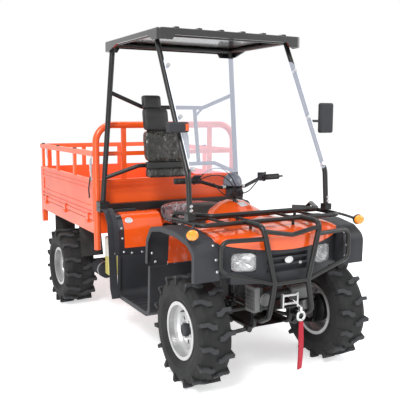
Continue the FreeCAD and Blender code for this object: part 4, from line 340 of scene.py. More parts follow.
# Its lighter convex edges are partly wear, partly a painted highlight.
RUBBER = Finish("tyre_rubber", grey(0.012), grey(0.024), "black_rubber", roughness=0.72, specular=0.25,
                relief_scale=160.0, relief=0.25, patch_scale=9.0, edge_wear=0.5, wear_colour=grey(0.09))
WHEEL_SILVER = Finish("wheel_silver", grey(0.52), grey(0.44), roughness=0.32, roughness_spread=0.08,
                      metallic=0.7, pattern=Pattern.BRUSHED, relief_scale=90.0, relief=0.06)
# Its lighter convex edges are partly wear, partly a painted highlight.
WINCH_METAL = Finish("winch_metal", grey(0.022), grey(0.040), roughness=0.42, relief_scale=500.0, relief=0.2,
                     specular=0.3, edge_wear=0.5, wear_colour=grey(0.2),
                     overlays=(Band("X", -0.21, -0.170, grey(0.17)), Band("X", 0.060, 0.210, grey(0.15))))
ZINC = Finish("zinc_plate", grey(0.62), grey(0.5), "hook_steel", roughness=0.3, metallic=0.85,
              pattern=Pattern.BRUSHED, relief_scale=150.0, relief=0.1)
# Bright chrome with dark noise patches: the patches are painted reflections in the reflector's facets.
CHROME_PAINTED_REFLECTIONS = Finish("lamp_chrome", grey(0.88), grey(0.22), "lamp_clear", roughness=0.14, roughness_spread=0.05,
                metallic=0.5, relief_scale=40.0, relief=0.25, patch_scale=17.0)
MIRROR = Finish("mirror_glass", grey(0.75), grey(0.7), "hook_steel", roughness=0.05, roughness_spread=0.02,
                metallic=1.0, relief_scale=60.0, relief=0.02)
WEBBING = Finish("red_webbing", (0.62, 0.012, 0.040), (0.50, 0.009, 0.032), "red_strap", roughness=0.8,
                 sheen=0.2, specular=0.2, pattern=Pattern.WEAVE, relief_scale=420.0, relief=0.5)
VINYL = Finish("black_vinyl", grey(0.016), grey(0.026), "seat_vinyl", roughness=0.45, specular=0.3,
               relief_scale=700.0, relief=0.3)
DARK_FILM = Finish("film_on_vinyl", (0.012, 0.012, 0.010), (0.028, 0.027, 0.022), "seat_vinyl", roughness=0.2,
                   coat=0.5, specular=0.35, pattern=Pattern.CREASES, relief_scale=19.0, relief=1.0,
                   relief_depth=0.010, patch_scale=16.0)
GREY_FILM = Finish("film_on_saddle", (0.060, 0.054, 0.060), (0.26, 0.24, 0.26), "seat_vinyl", roughness=0.22,
                   coat=0.8, specular=0.4, pattern=Pattern.CREASES, relief_scale=22.0, relief=1.0,
                   relief_depth=0.010, patch_scale=30.0)
# The screen's glow is a painted reflection: a milky white veil of the lit surround, put in as emission.
SCREEN_PAINTED_GLARE = Finish("clear_screen", (0.42, 0.44, 0.50), (0.38, 0.40, 0.47), roughness=0.12, roughness_spread=0.04,
                specular=0.1, alpha=0.21, glow=1.35, pattern=Pattern.STREAKS, relief_scale=1.0, relief=0.25)
# Pale glowing edge wires: a painted highlight along the windscreen's sides.
PAINTED_EDGE_HIGHLIGHT = Finish("screen_edge", (0.80, 0.83, 0.88), (0.62, 0.66, 0.74), "screen_clear", roughness=0.2,
                     glow=0.15, relief_scale=200.0, patch_scale=20.0)
AMBER = Finish("amber_lens", (0.95, 0.36, 0.012), (0.90, 0.22, 0.01), "lamp_amber", roughness=0.15, coat=0.8,
               glow=0.12, relief_scale=90.0, relief=0.8, patch_scale=60.0)
REFLECTOR = Finish("red_reflector", (0.75, 0.10, 0.012), (0.62, 0.07, 0.01), "lamp_amber", roughness=0.2,
                   coat=0.6, relief_scale=300.0, relief=0.4)
LENS = Finish("lamp_lens", grey(0.95), grey(0.9), "lamp_clear", roughness=0.05, roughness_spread=0.02,
              coat=0.6, alpha=0.14, relief_scale=40.0, relief=0.1)
MILKY = Finish("milky_plastic", (0.72, 0.72, 0.66), (0.68, 0.67, 0.58), roughness=0.35, relief_scale=200.0,
               overlays=(Band("Z", 0.0, 0.485, (0.56, 0.50, 0.14)),))
CASTING = Finish("cast_metal", grey(0.16), grey(0.10), "winch_black", metallic=0.6, relief_scale=300.0,
                 relief=0.4)
ROOF_BLACK = Finish("roof_black", grey(0.012), grey(0.018), roughness=0.24, roughness_spread=0.06, coat=0.5,
                    relief_scale=300.0, relief=0.06)
POD_GREY = Finish("pod_grey", (0.150, 0.165, 0.200), (0.13, 0.145, 0.175), roughness=0.3, coat=0.4,
                  relief_scale=500.0)
BLANK_PLATE = Finish("blank_plate", grey(0.72), grey(0.64), "hook_steel", roughness=0.3,
                     roughness_spread=0.08, metallic=0.3, pattern=Pattern.BRUSHED, relief_scale=80.0,
                     relief=0.08)

SLOT_FINISHES = {
    "tyre": RUBBER, "wheel_silver": WHEEL_SILVER, "black_steel": BLACK_STEEL, "cast_metal": CASTING,
    "winch_black": WINCH_METAL, "hook_steel": ZINC, "red_strap": WEBBING, "orange_plastic": ORANGE_PLASTIC,
    "black_plastic": BLACK_PLASTIC, "lamp_clear": LENS, "lamp_amber": AMBER, "seat_vinyl": VINYL,
    "roof_black": ROOF_BLACK, "screen_clear": SCREEN_PAINTED_GLARE, "bottle_white": MILKY, "bed_steel": ORANGE_PAINT,
    "black_rubber": RUBBER}
NODE_FINISHES = {"windscreen_clamps": ZINC, "instrument_pod": POD_GREY, "fender_panels": FENDER}


class Wardrobe:
    """Makes each finish once and dresses the frame's nodes by their slots."""

    # Share of a tyre's half height past which the lug tops get their painted highlight.
    LUG_START_SHARE = 0.955
    SMOOTH_DEG = 32.0

    def __init__(self) -> None:
        """Starts with no material made."""
        self.made: dict[str, bpy.types.Material] = {}

    def material(self, finish: Finish) -> bpy.types.Material:
        """The material of a finish, made on first use.

        Args:
            finish: The finish.

        Returns:
            Its material.
        """
        if finish.name not in self.made:
            self.made[finish.name] = finish.make()
        return self.made[finish.name]

    def dress(self, thing: Thing, finish: Finish) -> None:
        """Gives an object one finish all over."""
        thing.data.materials.clear()
        thing.data.materials.append(self.material(finish))

    def finish_for(self, node: str, slot: str) -> Finish:
        """The finish of a node, with a painted highlight on the lug tops of each tyre.

        Args:
            node: The node's name.
            slot: Its material slot.

        Returns:
            The finish.
        """
        if slot != "tyre":
            return NODE_FINISHES.get(node, SLOT_FINISHES[slot])
        low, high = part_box(node)
        middle = (low + high) / 2
        # Painted light: lug tops lighter than the grooves, for the light on the tops and the shade between
        # them.
        lug_light = Crest(middle.y, middle.z, (high.z - low.z) / 2 * self.LUG_START_SHARE)
        return replace(RUBBER, name=f"{node}_rubber", overlays=(lug_light,))

    def dress_frame(self, frame: dict) -> None:
        """Dresses every node of the frame and shades it smooth by angle.
        """
        slots = {entry["node"]: entry["material_slot"] for entry in frame["record"]["subparts"]}
        bpy.ops.object.select_all(action="DESELECT")
        for name, thing in frame["nodes"].items():
            self.dress(thing, self.finish_for(name, slots[name]))
            thing.select_set(True)
            bpy.context.view_layer.objects.active = thing
        bpy.ops.object.shade_smooth_by_angle(angle=math.radians(self.SMOOTH_DEG))
        LOG.info("dressed %d nodes", len(frame["nodes"]))


@dataclass(frozen=True)
class Turning:
    """A turned form: pairs of radius and height from its start, and how many flats it has round."""

    profile: Profile
    sides: int


class Bench:
    """Models new pieces with edit tools and hands them over dressed and riding."""

    SMOOTH_DEG = 40.0
    WIRE_ORDER = 3
    WIRE_STEPS = 6
    WIRE_ROUNDING = 3

    def __init__(self, wardrobe: Wardrobe) -> None:
        """Keeps the finishes and reads the front axle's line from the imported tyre.

        Args:
            wardrobe: Where finishes are made.
        """
        self.wardrobe = wardrobe
        low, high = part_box("front_left_tyre")
        self.axle_y = (low.y + high.y) / 2

    def at(self, x: float, y: float, z: float, side: Side = Side.LEFT) -> Vector:
        """A place whose y is measured from the front axle's line, mirrored for the right side."""
        return Vector((side.value * x, self.axle_y + y, z))

    def pick(self, thing: Thing) -> None:
        """Makes one object the selected and active one.

        Args:
            thing: The object.
        """
        bpy.ops.object.select_all(action="DESELECT")
        thing.select_set(True)
        bpy.context.view_layer.objects.active = thing

    def settle(self, thing: Thing, place: Vector, aim: Vector) -> Thing:
        """Turns an object's Z to an aim, moves it to a place and puts both into its mesh.

        Args:
            thing: The object, modelled about the origin.
            place: Where its origin goes.
            aim: Where its Z axis points.

        Returns:
            The same object.
        """
        self.pick(thing)
        thing.rotation_euler = aim.to_track_quat("Z", "Y").to_euler()
        thing.location = place
        bpy.ops.object.transform_apply(location=True, rotation=True, scale=True)
        return thing

    def worked(self, thing: Thing, kind: str, **settings: float | str) -> Thing:
        """Adds a modifier to an object and applies it.

        Args:
            thing: The object.
            kind: The modifier's type.
            settings: Its settings.

        Returns:
            The same object.
        """
        self.pick(thing)
        modifier = thing.modifiers.new(kind.lower(), kind)
        for key, value in settings.items():
            setattr(modifier, key, value)
        bpy.ops.object.modifier_apply(modifier=modifier.name)
        return thing

    def reshaped(self, thing: Thing, change: Callable[[Vector], Vector]) -> Thing:
        """Moves every point of an object's mesh by one rule.

        Args:
            thing: The object.
            change: The new place of a point from its old one.

        Returns:
            The same object.
        """
        for vertex in thing.data.vertices:
            vertex.co = change(vertex.co.copy())
        return thing

    def pushed(self, thing: Thing, push: Callable[[Vector], float]) -> Thing:
        """Moves every point of an object's mesh towards the rear by a rule's distance."""
        return self.reshaped(thing, lambda point: Vector((point.x, point.y + push(point), point.z)))

    def face_outward(self) -> None:
        """Turns all faces of the mesh in edit mode outwards and leaves edit mode."""
        bpy.ops.mesh.select_all(action="SELECT")
        bpy.ops.mesh.normals_make_consistent(inside=False)
        bpy.ops.object.mode_set(mode="OBJECT")

    def block(self, low: Vector, high: Vector, rounding: float = 0.0, steps: int = 2) -> Thing:
        """A box between two corners with rounded edges.

        Args:
            low: The lowest corner.
            high: The highest corner.
            rounding: The width of the rounding.
            steps: How many faces round each edge.

        Returns:
            The new object.
        """
        bpy.ops.object.select_all(action="DESELECT")
        bpy.ops.mesh.primitive_cube_add(size=1.0, location=ORIGIN)
        thing = bpy.context.object
        bpy.ops.object.mode_set(mode="EDIT")
        bpy.ops.transform.resize(value=tuple(high - low))
        bpy.ops.transform.translate(value=tuple((low + high) / 2))
        bpy.ops.object.mode_set(mode="OBJECT")
        if rounding > 0.0:
            self.worked(thing, "BEVEL", width=rounding, segments=steps, limit_method="ANGLE")
        return thing

    def slab(self, place: Vector, aim: Vector, size: Triple, rounding: float) -> Thing:
        """A thin plate on a surface, with its thickness along an aim.

        Args:
            place: The middle of the face that it stands on.
            aim: The surface's outward direction.
            size: Its width, height and thickness.
            rounding: The width of the rounding.

        Returns:
            The new object.
        """
        wide, tall, thick = size
        plate = self.block(Vector((-wide / 2, -tall / 2, 0.0)), Vector((wide / 2, tall / 2, thick)), rounding)
        return self.settle(plate, place, aim)

    def turned(self, place: Vector, aim: Vector, form: Turning) -> Thing:
        """A solid turned about an axis, drawn up from a disc ring by ring.

        Args:
            place: Where the axis starts.
            aim: Where the axis points.
            form: Its profile and its flats.

        Returns:
            The new object.
        """
        bpy.ops.object.select_all(action="DESELECT")
        radius, height = form.profile[0]
        bpy.ops.mesh.primitive_circle_add(vertices=form.sides, radius=radius, fill_type="NGON",
                                          location=UP * height)
        thing = bpy.context.object
        bpy.ops.object.transform_apply(location=True)
        bpy.ops.object.mode_set(mode="EDIT")
        for next_radius, next_height in form.profile[1:]:
            bpy.ops.mesh.extrude_region_move(TRANSFORM_OT_translate={"value": UP * (next_height - height)})
            growth = next_radius / radius
            bpy.ops.transform.resize(value=(growth, growth, 1.0), center_override=UP * next_height)
            radius, height = next_radius, next_height
        self.face_outward()
        return self.settle(thing, place, aim)

    def wire(self, points: list[Vector], radius: float) -> Thing:
        """A rigid bent wire along a smooth curve, as a mesh.

        Args:
            points: The curve's control points.
            radius: The wire's radius.

        Returns:
            The new object.
        """
        data = bpy.data.curves.new("wire", "CURVE")
        data.dimensions = "3D"
        spline = data.splines.new("NURBS")
        spline.points.add(len(points) - 1)
        for spot, point in zip(spline.points, points):
            spot.co = (*point, 1.0)
        spline.order_u = self.WIRE_ORDER
        spline.use_endpoint_u = True
        spline.resolution_u = self.WIRE_STEPS
        data.bevel_depth = radius
        data.bevel_resolution = self.WIRE_ROUNDING
        data.use_fill_caps = True
        thing = bpy.data.objects.new("wire", data)
        bpy.context.scene.collection.objects.link(thing)
        self.pick(thing)
        bpy.ops.object.convert(target="MESH")
        return bpy.context.object

    def grid(self, columns: int, rows: int, shape: Callable[[float, float], Vector]) -> Thing:
        """A grid whose points a rule places.

        Args:
            columns: How many faces it has across.
            rows: How many faces it has along.
            shape: The place of a point from its shares across and along.

        Returns:
            The new object.
        """
        bpy.ops.object.select_all(action="DESELECT")
        bpy.ops.mesh.primitive_grid_add(x_subdivisions=columns, y_subdivisions=rows, size=1.0,
                                        location=ORIGIN)
        return self.reshaped(bpy.context.object, lambda point: shape(point.x + 0.5, point.y + 0.5))

    def joined(self, things: list[Thing]) -> Thing:
        """Joins several objects.

        Args:
            things: The objects.

        Returns:
            All of them as one.
        """
        self.pick(things[0])
        for thing in things[1:]:
            thing.select_set(True)
        bpy.ops.object.join()
        return bpy.context.object

    def hand_over(self, thing: Thing, name: str, finish: Finish, body: str = "chassis", slot: str = "",
                  angle: float = SMOOTH_DEG) -> Thing:
        """Names, dresses and shades a piece and puts it on its body.

        Args:
            thing: The piece.
            name: Its name.
            finish: Its finish.
            body: The body that it rides on.
            slot: Not used.
            angle: The angle in degrees up to which edges are smooth.

        Returns:
            The same piece.
        """
        thing.name = name
        thing.data.name = name
        self.wardrobe.dress(thing, finish)
        self.pick(thing)
        bpy.ops.object.shade_smooth_by_angle(angle=math.radians(angle))
        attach(thing, body)
        LOG.info("%s on %s", name, body)
        return thing


@dataclass
class Assembly:
    """A group of pieces that a bench models."""

    bench: Bench


@dataclass(frozen=True)
class Spot:
    """A head's place from the front axle on the left side, and the way that it faces."""

    x: float
    y: float
    z: float
    aim: Triple = (0, -1, 0)


SCREW = Turning(((0.0085, 0.0), (0.0085, 0.0018), (0.0068, 0.0042), (0.0040, 0.0052), (0.0030, 0.0036)), 16)
BOLT = Turning(((0.0110, 0.0), (0.0110, 0.0020), (0.0080, 0.0021), (0.0078, 0.0085), (0.0060, 0.0098)), 6)


@dataclass
class Fasteners(Assembly):
    """Screws and bolts, joined into one piece for each group and side."""

    flare_screws: tuple[Spot, ...] = (
        Spot(0.453, -0.1975, 0.8365, (0, -0.54, 0.84)), Spot(0.453, -0.2320, 0.765),
        Spot(0.445, -0.2310, 0.698), Spot(0.435, 0.100, 0.884, (0, 0, 1)),
        Spot(0.387, 0.340, 0.868, (0, 0, 1)), Spot(0.544, 0.409, 0.691), Spot(0.518, 0.415, 0.633))
    fender_screws: tuple[Spot, ...] = (
        Spot(0.516, 0.994, 0.752, (0, -1, 0.1)), Spot(0.512, 0.989, 0.681, (0, -1, 0.1)),
        Spot(0.505, 0.982, 0.585), Spot(0.445, 0.980, 0.574), Spot(0.368, 0.980, 0.574),
        Spot(0.290, 0.980, 0.574), Spot(0.557, 1.012, 0.574))
    pillar_bolts: tuple[Spot, ...] = (Spot(0.486, -0.006, 1.029), Spot(0.486, -0.007, 1.005))
    fascia_bolt: tuple[Spot, ...] = (Spot(0.091, -0.2550, 0.7015),)

    def group(self, name: str, spots: tuple[Spot, ...], head: Turning, side: Side) -> None:
        """Models one group of heads on one side.

        Args:
            name: The group's name.
            spots: Where the heads stand on the left side.
            head: The form of one head.
            side: The side of the vehicle.
        """
        bench = self.bench
        heads = [bench.turned(bench.at(spot.x, spot.y, spot.z, side), Vector(spot.aim), head)
                 for spot in spots]
        bench.hand_over(bench.joined(heads), f"{side.word}_{name}", ZINC)

    def build(self) -> None:
        """Models every group."""
        for side in Side:
            self.group("flare_screws", self.flare_screws, SCREW, side)
            self.group("fender_screws", self.fender_screws, SCREW, side)
            self.group("pillar_bolts", self.pillar_bolts, BOLT, side)
        self.group("fascia_bolt", self.fascia_bolt, BOLT, Side.LEFT)


@dataclass
class WheelTrim(Assembly):
    """Black hub caps, nuts and a valve on each wheel."""

    rim_wall: float = 0.005
    disc_thickness: float = 0.006
    disc_share: float = 0.25
    nut_circle: float = 0.054
    nut_count: int = 4
    turn_deg: float = 22.5
    valve_share: float = 0.32
    cap: Turning = Turning(((0.0375, 0.004), (0.0385, 0.026), (0.0360, 0.033), (0.0280, 0.037),
                            (0.0200, 0.0375), (0.0180, 0.0350)), 28)
    nut: Turning = Turning(((0.0125, 0.0), (0.0125, 0.003), (0.0100, 0.0035), (0.0100, 0.013),
                            (0.0070, 0.018), (0.0045, 0.018)), 6)
    valve: Turning = Turning(((0.0050, 0.0), (0.0045, 0.018), (0.0032, 0.020), (0.0032, 0.030)), 12)

    def spoke(self, turn_deg: float, reach: float) -> Vector:
        """A step from the wheel's middle, at an angle from the top."""
        turn = math.radians(turn_deg)
        return Vector((0.0, math.sin(turn), math.cos(turn))) * reach

    def dress_wheel(self, wheel: str, centre: Vector) -> None:
        """Adds one wheel's trim.

        Args:
            wheel: The wheel's name, such as front_left.
            centre: The middle of the wheel.
        """
        bench, body = self.bench, f"{wheel}_wheel"
        low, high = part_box(f"{wheel}_rim")
        half = (high.x - low.x) / 2 - self.rim_wall
        aim = (Side.LEFT if centre.x > 0 else Side.RIGHT).out
        face = centre + aim * (half * self.disc_share + self.disc_thickness)
        bench.hand_over(bench.turned(face, aim, self.cap), f"{wheel}_hub_cap", BLACK_PLASTIC, body)
        pitch = 360.0 / self.nut_count
        nuts = [bench.turned(face + self.spoke(pitch * (index + 0.5) + self.turn_deg, self.nut_circle), aim,
                             self.nut) for index in range(self.nut_count)]
        bench.hand_over(bench.joined(nuts), f"{wheel}_nuts", ZINC, body, "wheel_silver")
        well = self.spoke(self.turn_deg, (high.z - low.z) * self.valve_share)
        bench.hand_over(bench.turned(face + well, aim, self.valve), f"{wheel}_valve", RUBBER, body)

    def build(self, joints: list[dict]) -> None:
        """Dresses all four wheels.

        Args:
            joints: The frame's joints, whose spins give the wheels' middles.
        """
        for joint in joints:
            if joint["name"].endswith("_spin"):
                self.dress_wheel(joint["name"].removesuffix("_spin"), Vector(joint["pos_m"]))


@dataclass
class Lamps(Assembly):
    """Faceted headlamps behind clear lenses, and amber signals on stalks."""

    bulb: Turning = Turning(((0.010, 0.0), (0.010, 0.010), (0.007, 0.016), (0.003, 0.018)), 16)
    bulb_gap: float = 0.014
    bulb_share: float = 0.9
    bowl_shares: Triple = (0.47, 0.7, 0.46)
    bowl_inset: float = 0.010
    bowl_wall: float = 0.002
    bowl_smooth_deg: float = 4.0
    lens_gap: float = 0.0005
    lens_wall: float = 0.008
    sweep: float = 0.34
    squareness: float = 5.0
    facets: tuple[int, int] = (16, 12)
    ripple: float = 0.12
    ripple_turns: tuple[float, float] = (7.0, 6.0)
    shell: Turning = Turning(((0.012, 0.0), (0.026, 0.008), (0.0315, 0.018), (0.0315, 0.027),
                              (0.0290, 0.028)), 28)
    glass: Turning = Turning(((0.0285, 0.0), (0.0290, 0.010), (0.0260, 0.017), (0.0170, 0.0215),
                              (0.0060, 0.0230)), 28)
    glass_seat: float = 0.0275
    signal_place: Triple = (0.578, -0.165, 0.905)
    signal_stretch: float = 1.18
    stalk_root: Triple = (0.503, -0.075, 0.935)
    stalk_rise: float = 0.006
    stalk_sink: float = 0.004
    stalk_radius: float = 0.008

    def headlamp(self, side: Side) -> None:
        """Models one headlamp in its pocket, swept back with the panel round it.

        Args:
            side: The side of the vehicle.
        """
        bench = self.bench
        low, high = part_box("headlamps")
        inner = min(abs(vertex.co.x) for vertex in bpy.data.objects["headlamps"].data.vertices)
        wide, tall = high.x - inner, high.z - low.z
        centre = Vector((side.value * (high.x + inner) / 2, low.y, (low.z + high.z) / 2))
        wide_share, deep_share, tall_share = self.bowl_shares
        depth = (high.y - low.y) * deep_share
        bowl = self.panel(centre + BEHIND * self.bowl_inset, wide * wide_share, tall * tall_share, depth,
                          self.bowl_wall)
        bulb = bench.turned(centre + BEHIND * (self.bulb_gap + depth * self.bulb_share), AHEAD, self.bulb)
        lens = self.panel(centre, wide / 2 - self.lens_gap, tall / 2 - self.lens_gap, 0.0, self.lens_wall)
        for thing, name, finish, angle in ((bowl, "bowl", CHROME_PAINTED_REFLECTIONS, self.bowl_smooth_deg),
                                           (bulb, "bulb", ZINC, bench.SMOOTH_DEG),
                                           (lens, "lens", LENS, bench.SMOOTH_DEG)):
            bench.pushed(thing, lambda point: (abs(point.x) - inner) * self.sweep)
            bench.hand_over(thing, f"{side.word}_lamp_{name}", finish, angle=angle)
        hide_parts("headlamps")

    def panel(self, centre: Vector, half_wide: float, half_tall: float, depth: float, wall: float) -> Thing:
        """A plate with rounded corners, dished and faceted by its depth.

        Args:
            centre: The middle of its front.
            half_wide: Half its width.
            half_tall: Half its height.
            depth: How far its middle is pressed in.
            wall: Its thickness.

        Returns:
            The new object.
        """
        turns_u, turns_v = self.ripple_turns

        def shape(across: float, along: float) -> Vector:
            """The place of one point of the plate.

            Args:
                across: The share of the width.
                along: The share of the height.

            Returns:
                The point in the frame's axes.
            """
            u, v = 2.0 * across - 1.0, 2.0 * along - 1.0
            largest = max(abs(u), abs(v))
            reach = (abs(u) ** self.squareness + abs(v) ** self.squareness) ** (1.0 / self.squareness)
            ripple = self.ripple * math.sin(turns_u * u + 1.0) * math.sin(turns_v * v)
            pull = largest / reach if reach > 0.0 else 1.0
            return centre + Vector((u * pull * half_wide, depth * (1.0 - largest ** 3 + ripple),
                                    v * pull * half_tall))

        plate = self.bench.grid(*self.facets, shape)
        bpy.ops.object.mode_set(mode="EDIT")
        self.bench.face_outward()
        return self.bench.worked(plate, "SOLIDIFY", thickness=wall, offset=0.0)

    def widened(self, place: Vector, form: Turning) -> Thing:
        """A shape turned about the way ahead and stretched sideways into an oval.

        Args:
            place: Where its axis starts.
            form: The turned form.

        Returns:
            The new object.
        """
        thing = self.bench.turned(place, AHEAD, form)
        return self.bench.reshaped(thing, lambda point: Vector((
            place.x + (point.x - place.x) * self.signal_stretch, point.y, point.z)))

    def signal(self, side: Side) -> None:
        """Models one signal lamp with its stalk.

        Args:
            side: The side of the vehicle.
        """
        bench = self.bench
        base = bench.at(*self.signal_place, side)
        root = bench.at(*self.stalk_root, side)
        shell = self.widened(base, self.shell)
        stalk = bench.wire([root, (root + base) / 2 + UP * self.stalk_rise, base + AHEAD * self.stalk_sink],
                           self.stalk_radius)
        bench.hand_over(bench.joined([shell, stalk]), f"{side.word}_signal_shell", BLACK_PLASTIC)
        glass = self.widened(base + AHEAD * self.glass_seat, self.glass)
        bench.hand_over(glass, f"{side.word}_signal_glass", AMBER)
        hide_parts("signal_lamps")

    def build(self) -> None:
        """Models every lamp."""
        for side in Side:
            self.headlamp(side)
            self.signal(side)


def folds(point: Vector, coarse: float, fine: float, fine_share: float) -> float:
    """The height of creased film at a point, from two scales of soft noise."""
    return noise.noise(point * coarse) + fine_share * noise.noise(point * fine)


@dataclass(frozen=True)
class Station:
    """One cross section of the saddle: place along it, half width, base, shoulder and crown."""

    along: float
    half: float
    base: float
    shoulder: float
    crown: float


@dataclass
class Saddle(Assembly):
    """The long seat: vinyl in front, its rear wrapped in creased film."""

    half_width: float = 0.1695
    height: float = 0.208
    stations: tuple[Station, ...] = (
        Station(0.0, 0.40, 0.47, 0.71, 1.0), Station(0.18, 0.60, 0.20, 0.71, 0.98),
        Station(0.51, 0.88, 0.0, 0.61, 0.89), Station(0.78, 1.0, 0.0, 0.52, 0.82),
        Station(0.93, 0.97, 0.0, 0.47, 0.73), Station(1.0, 0.82, 0.10, 0.42, 0.64))
    rings: int = 64
    around: int = 44
    end_share: float = 0.05
    end_width_share: float = 0.65
    tip_width_share: float = 0.62
    end_drop_share: float = 0.02
    side_power: float = 0.55
    crown_power: float = 0.8
    skirt_power: float = 0.45
    skirt_tuck_share: float = 0.10
    film_start: float = 0.44
    film_fade: float = 0.04
    film_foot: float = 0.012
    film_folds: Triple = (34.0, 80.0, 0.5)
    film_depth: float = 0.0045
    film_draw: float = 0.9
    film_hem: float = 0.012
    film_hem_turns: float = 60.0
    seam: float = 0.0002
    smooth_deg: float = 60.0
    piping_turn: float = 0.28
    piping_start: float = 0.03
    piping_share: float = 0.40
    piping_steps: int = 9
    piping_radius: float = 0.0028

    def __post_init__(self) -> None:
        """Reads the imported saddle's box."""
        self.low, self.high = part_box("saddle")

    def station(self, along: float) -> Station:
        """The section at a share of the length, eased between the given ones.

        Args:
            along: The share of the length.

        Returns:
            The section there.
        """
        for before, after in zip(self.stations, self.stations[1:]):
            if along <= after.along:
                share = (along - before.along) / (after.along - before.along)
                mix = [getattr(before, key) + (getattr(after, key) - getattr(before, key)) * share
                       for key in ("half", "base", "shoulder", "crown")]
                return Station(along, *mix)
        return self.stations[-1]

    def section_point(self, along: float, turn: float) -> Vector:
        """A point of the seat's surface.

        Args:
            along: The share of the length.
            turn: The angle round the section.

        Returns:
            The point in the frame's axes.
        """
        section = self.station(along)
        end = min(1.0, along / self.end_share, (1.0 - along) / self.end_share)
        round_share = math.sqrt(max(0.0, 1.0 - (1.0 - end) ** 2))
        shrink = self.end_width_share + round_share * (1.0 - self.end_width_share)
        if end <= 0.0:
            shrink = self.tip_width_share
        base = self.low.z + self.height * section.base
        shoulder = self.low.z + self.height * section.shoulder
        crown = self.low.z + self.height * (section.crown - self.end_drop_share * (1.0 - end))
        across, up = math.cos(turn), math.sin(turn)
        x = self.half_width * section.half * shrink * math.copysign(abs(across) ** self.side_power, across)
        if up >= 0.0:
            z = shoulder + (crown - shoulder) * abs(up) ** self.crown_power
        else:
            z = shoulder - (shoulder - base) * abs(up) ** self.skirt_power
            x *= 1.0 - self.skirt_tuck_share * abs(up) ** 3
        y = self.low.y + (self.high.y - self.low.y) * along
        return Vector((x, y, z))

    def film_point(self, along: float, around: float) -> Vector:
        """A point of the seat with the creases of the film.

        Args:
            along: The share of the length.
            around: The share of the way round the section.

        Returns:
            The point in the frame's axes.
        """
        point = self.section_point(along, around * 2.0 * math.pi)
        film = max(0.0, min(1.0, (along - self.film_start) / self.film_fade))
        film *= min(1.0, (1.0 - along) / self.film_fade)
        if film > 0.0 and point.z > self.low.z + self.film_foot:
            inward = Vector((-point.x, 0.0, self.low.z - point.z)).normalized()
            point += inward * (self.film_depth * film * (folds(point, *self.film_folds) + self.film_draw))
        return point

    def build(self) -> None:
        """Models the seat as one closed form, its film and its piping."""
        bench = self.bench
        seat = bench.grid(self.rings, self.around, self.film_point)
        bpy.ops.object.mode_set(mode="EDIT")
        bpy.ops.mesh.select_all(action="SELECT")
        bpy.ops.mesh.remove_doubles(threshold=self.seam)
        bpy.ops.mesh.fill_holes(sides=self.around * 2)
        bench.face_outward()
        bench.hand_over(seat, "saddle_cover", VINYL, angle=self.smooth_deg)
        seat.data.materials.append(bench.wardrobe.material(GREY_FILM))
        film_y = self.low.y + (self.high.y - self.low.y) * self.film_start
        for face in seat.data.polygons:
            if face.center.y > film_y + self.film_hem * math.sin(face.center.x * self.film_hem_turns):
                face.material_index = 1
        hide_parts("saddle")
        for side in Side:
            turn = self.piping_turn if side is Side.LEFT else math.pi - self.piping_turn
            points = [self.section_point(self.piping_start + self.piping_share * step / self.piping_steps,
                                         turn) for step in range(self.piping_steps + 1)]
            bench.hand_over(bench.wire(points, self.piping_radius), f"{side.word}_saddle_piping", VINYL)


@dataclass(frozen=True)
class BackPad:
    """One pad of the seat back, with its sides and heights in metres."""

    name: str
    left: float
    right: float
    low: float
    high: float
    depth: float
    wrapped: bool


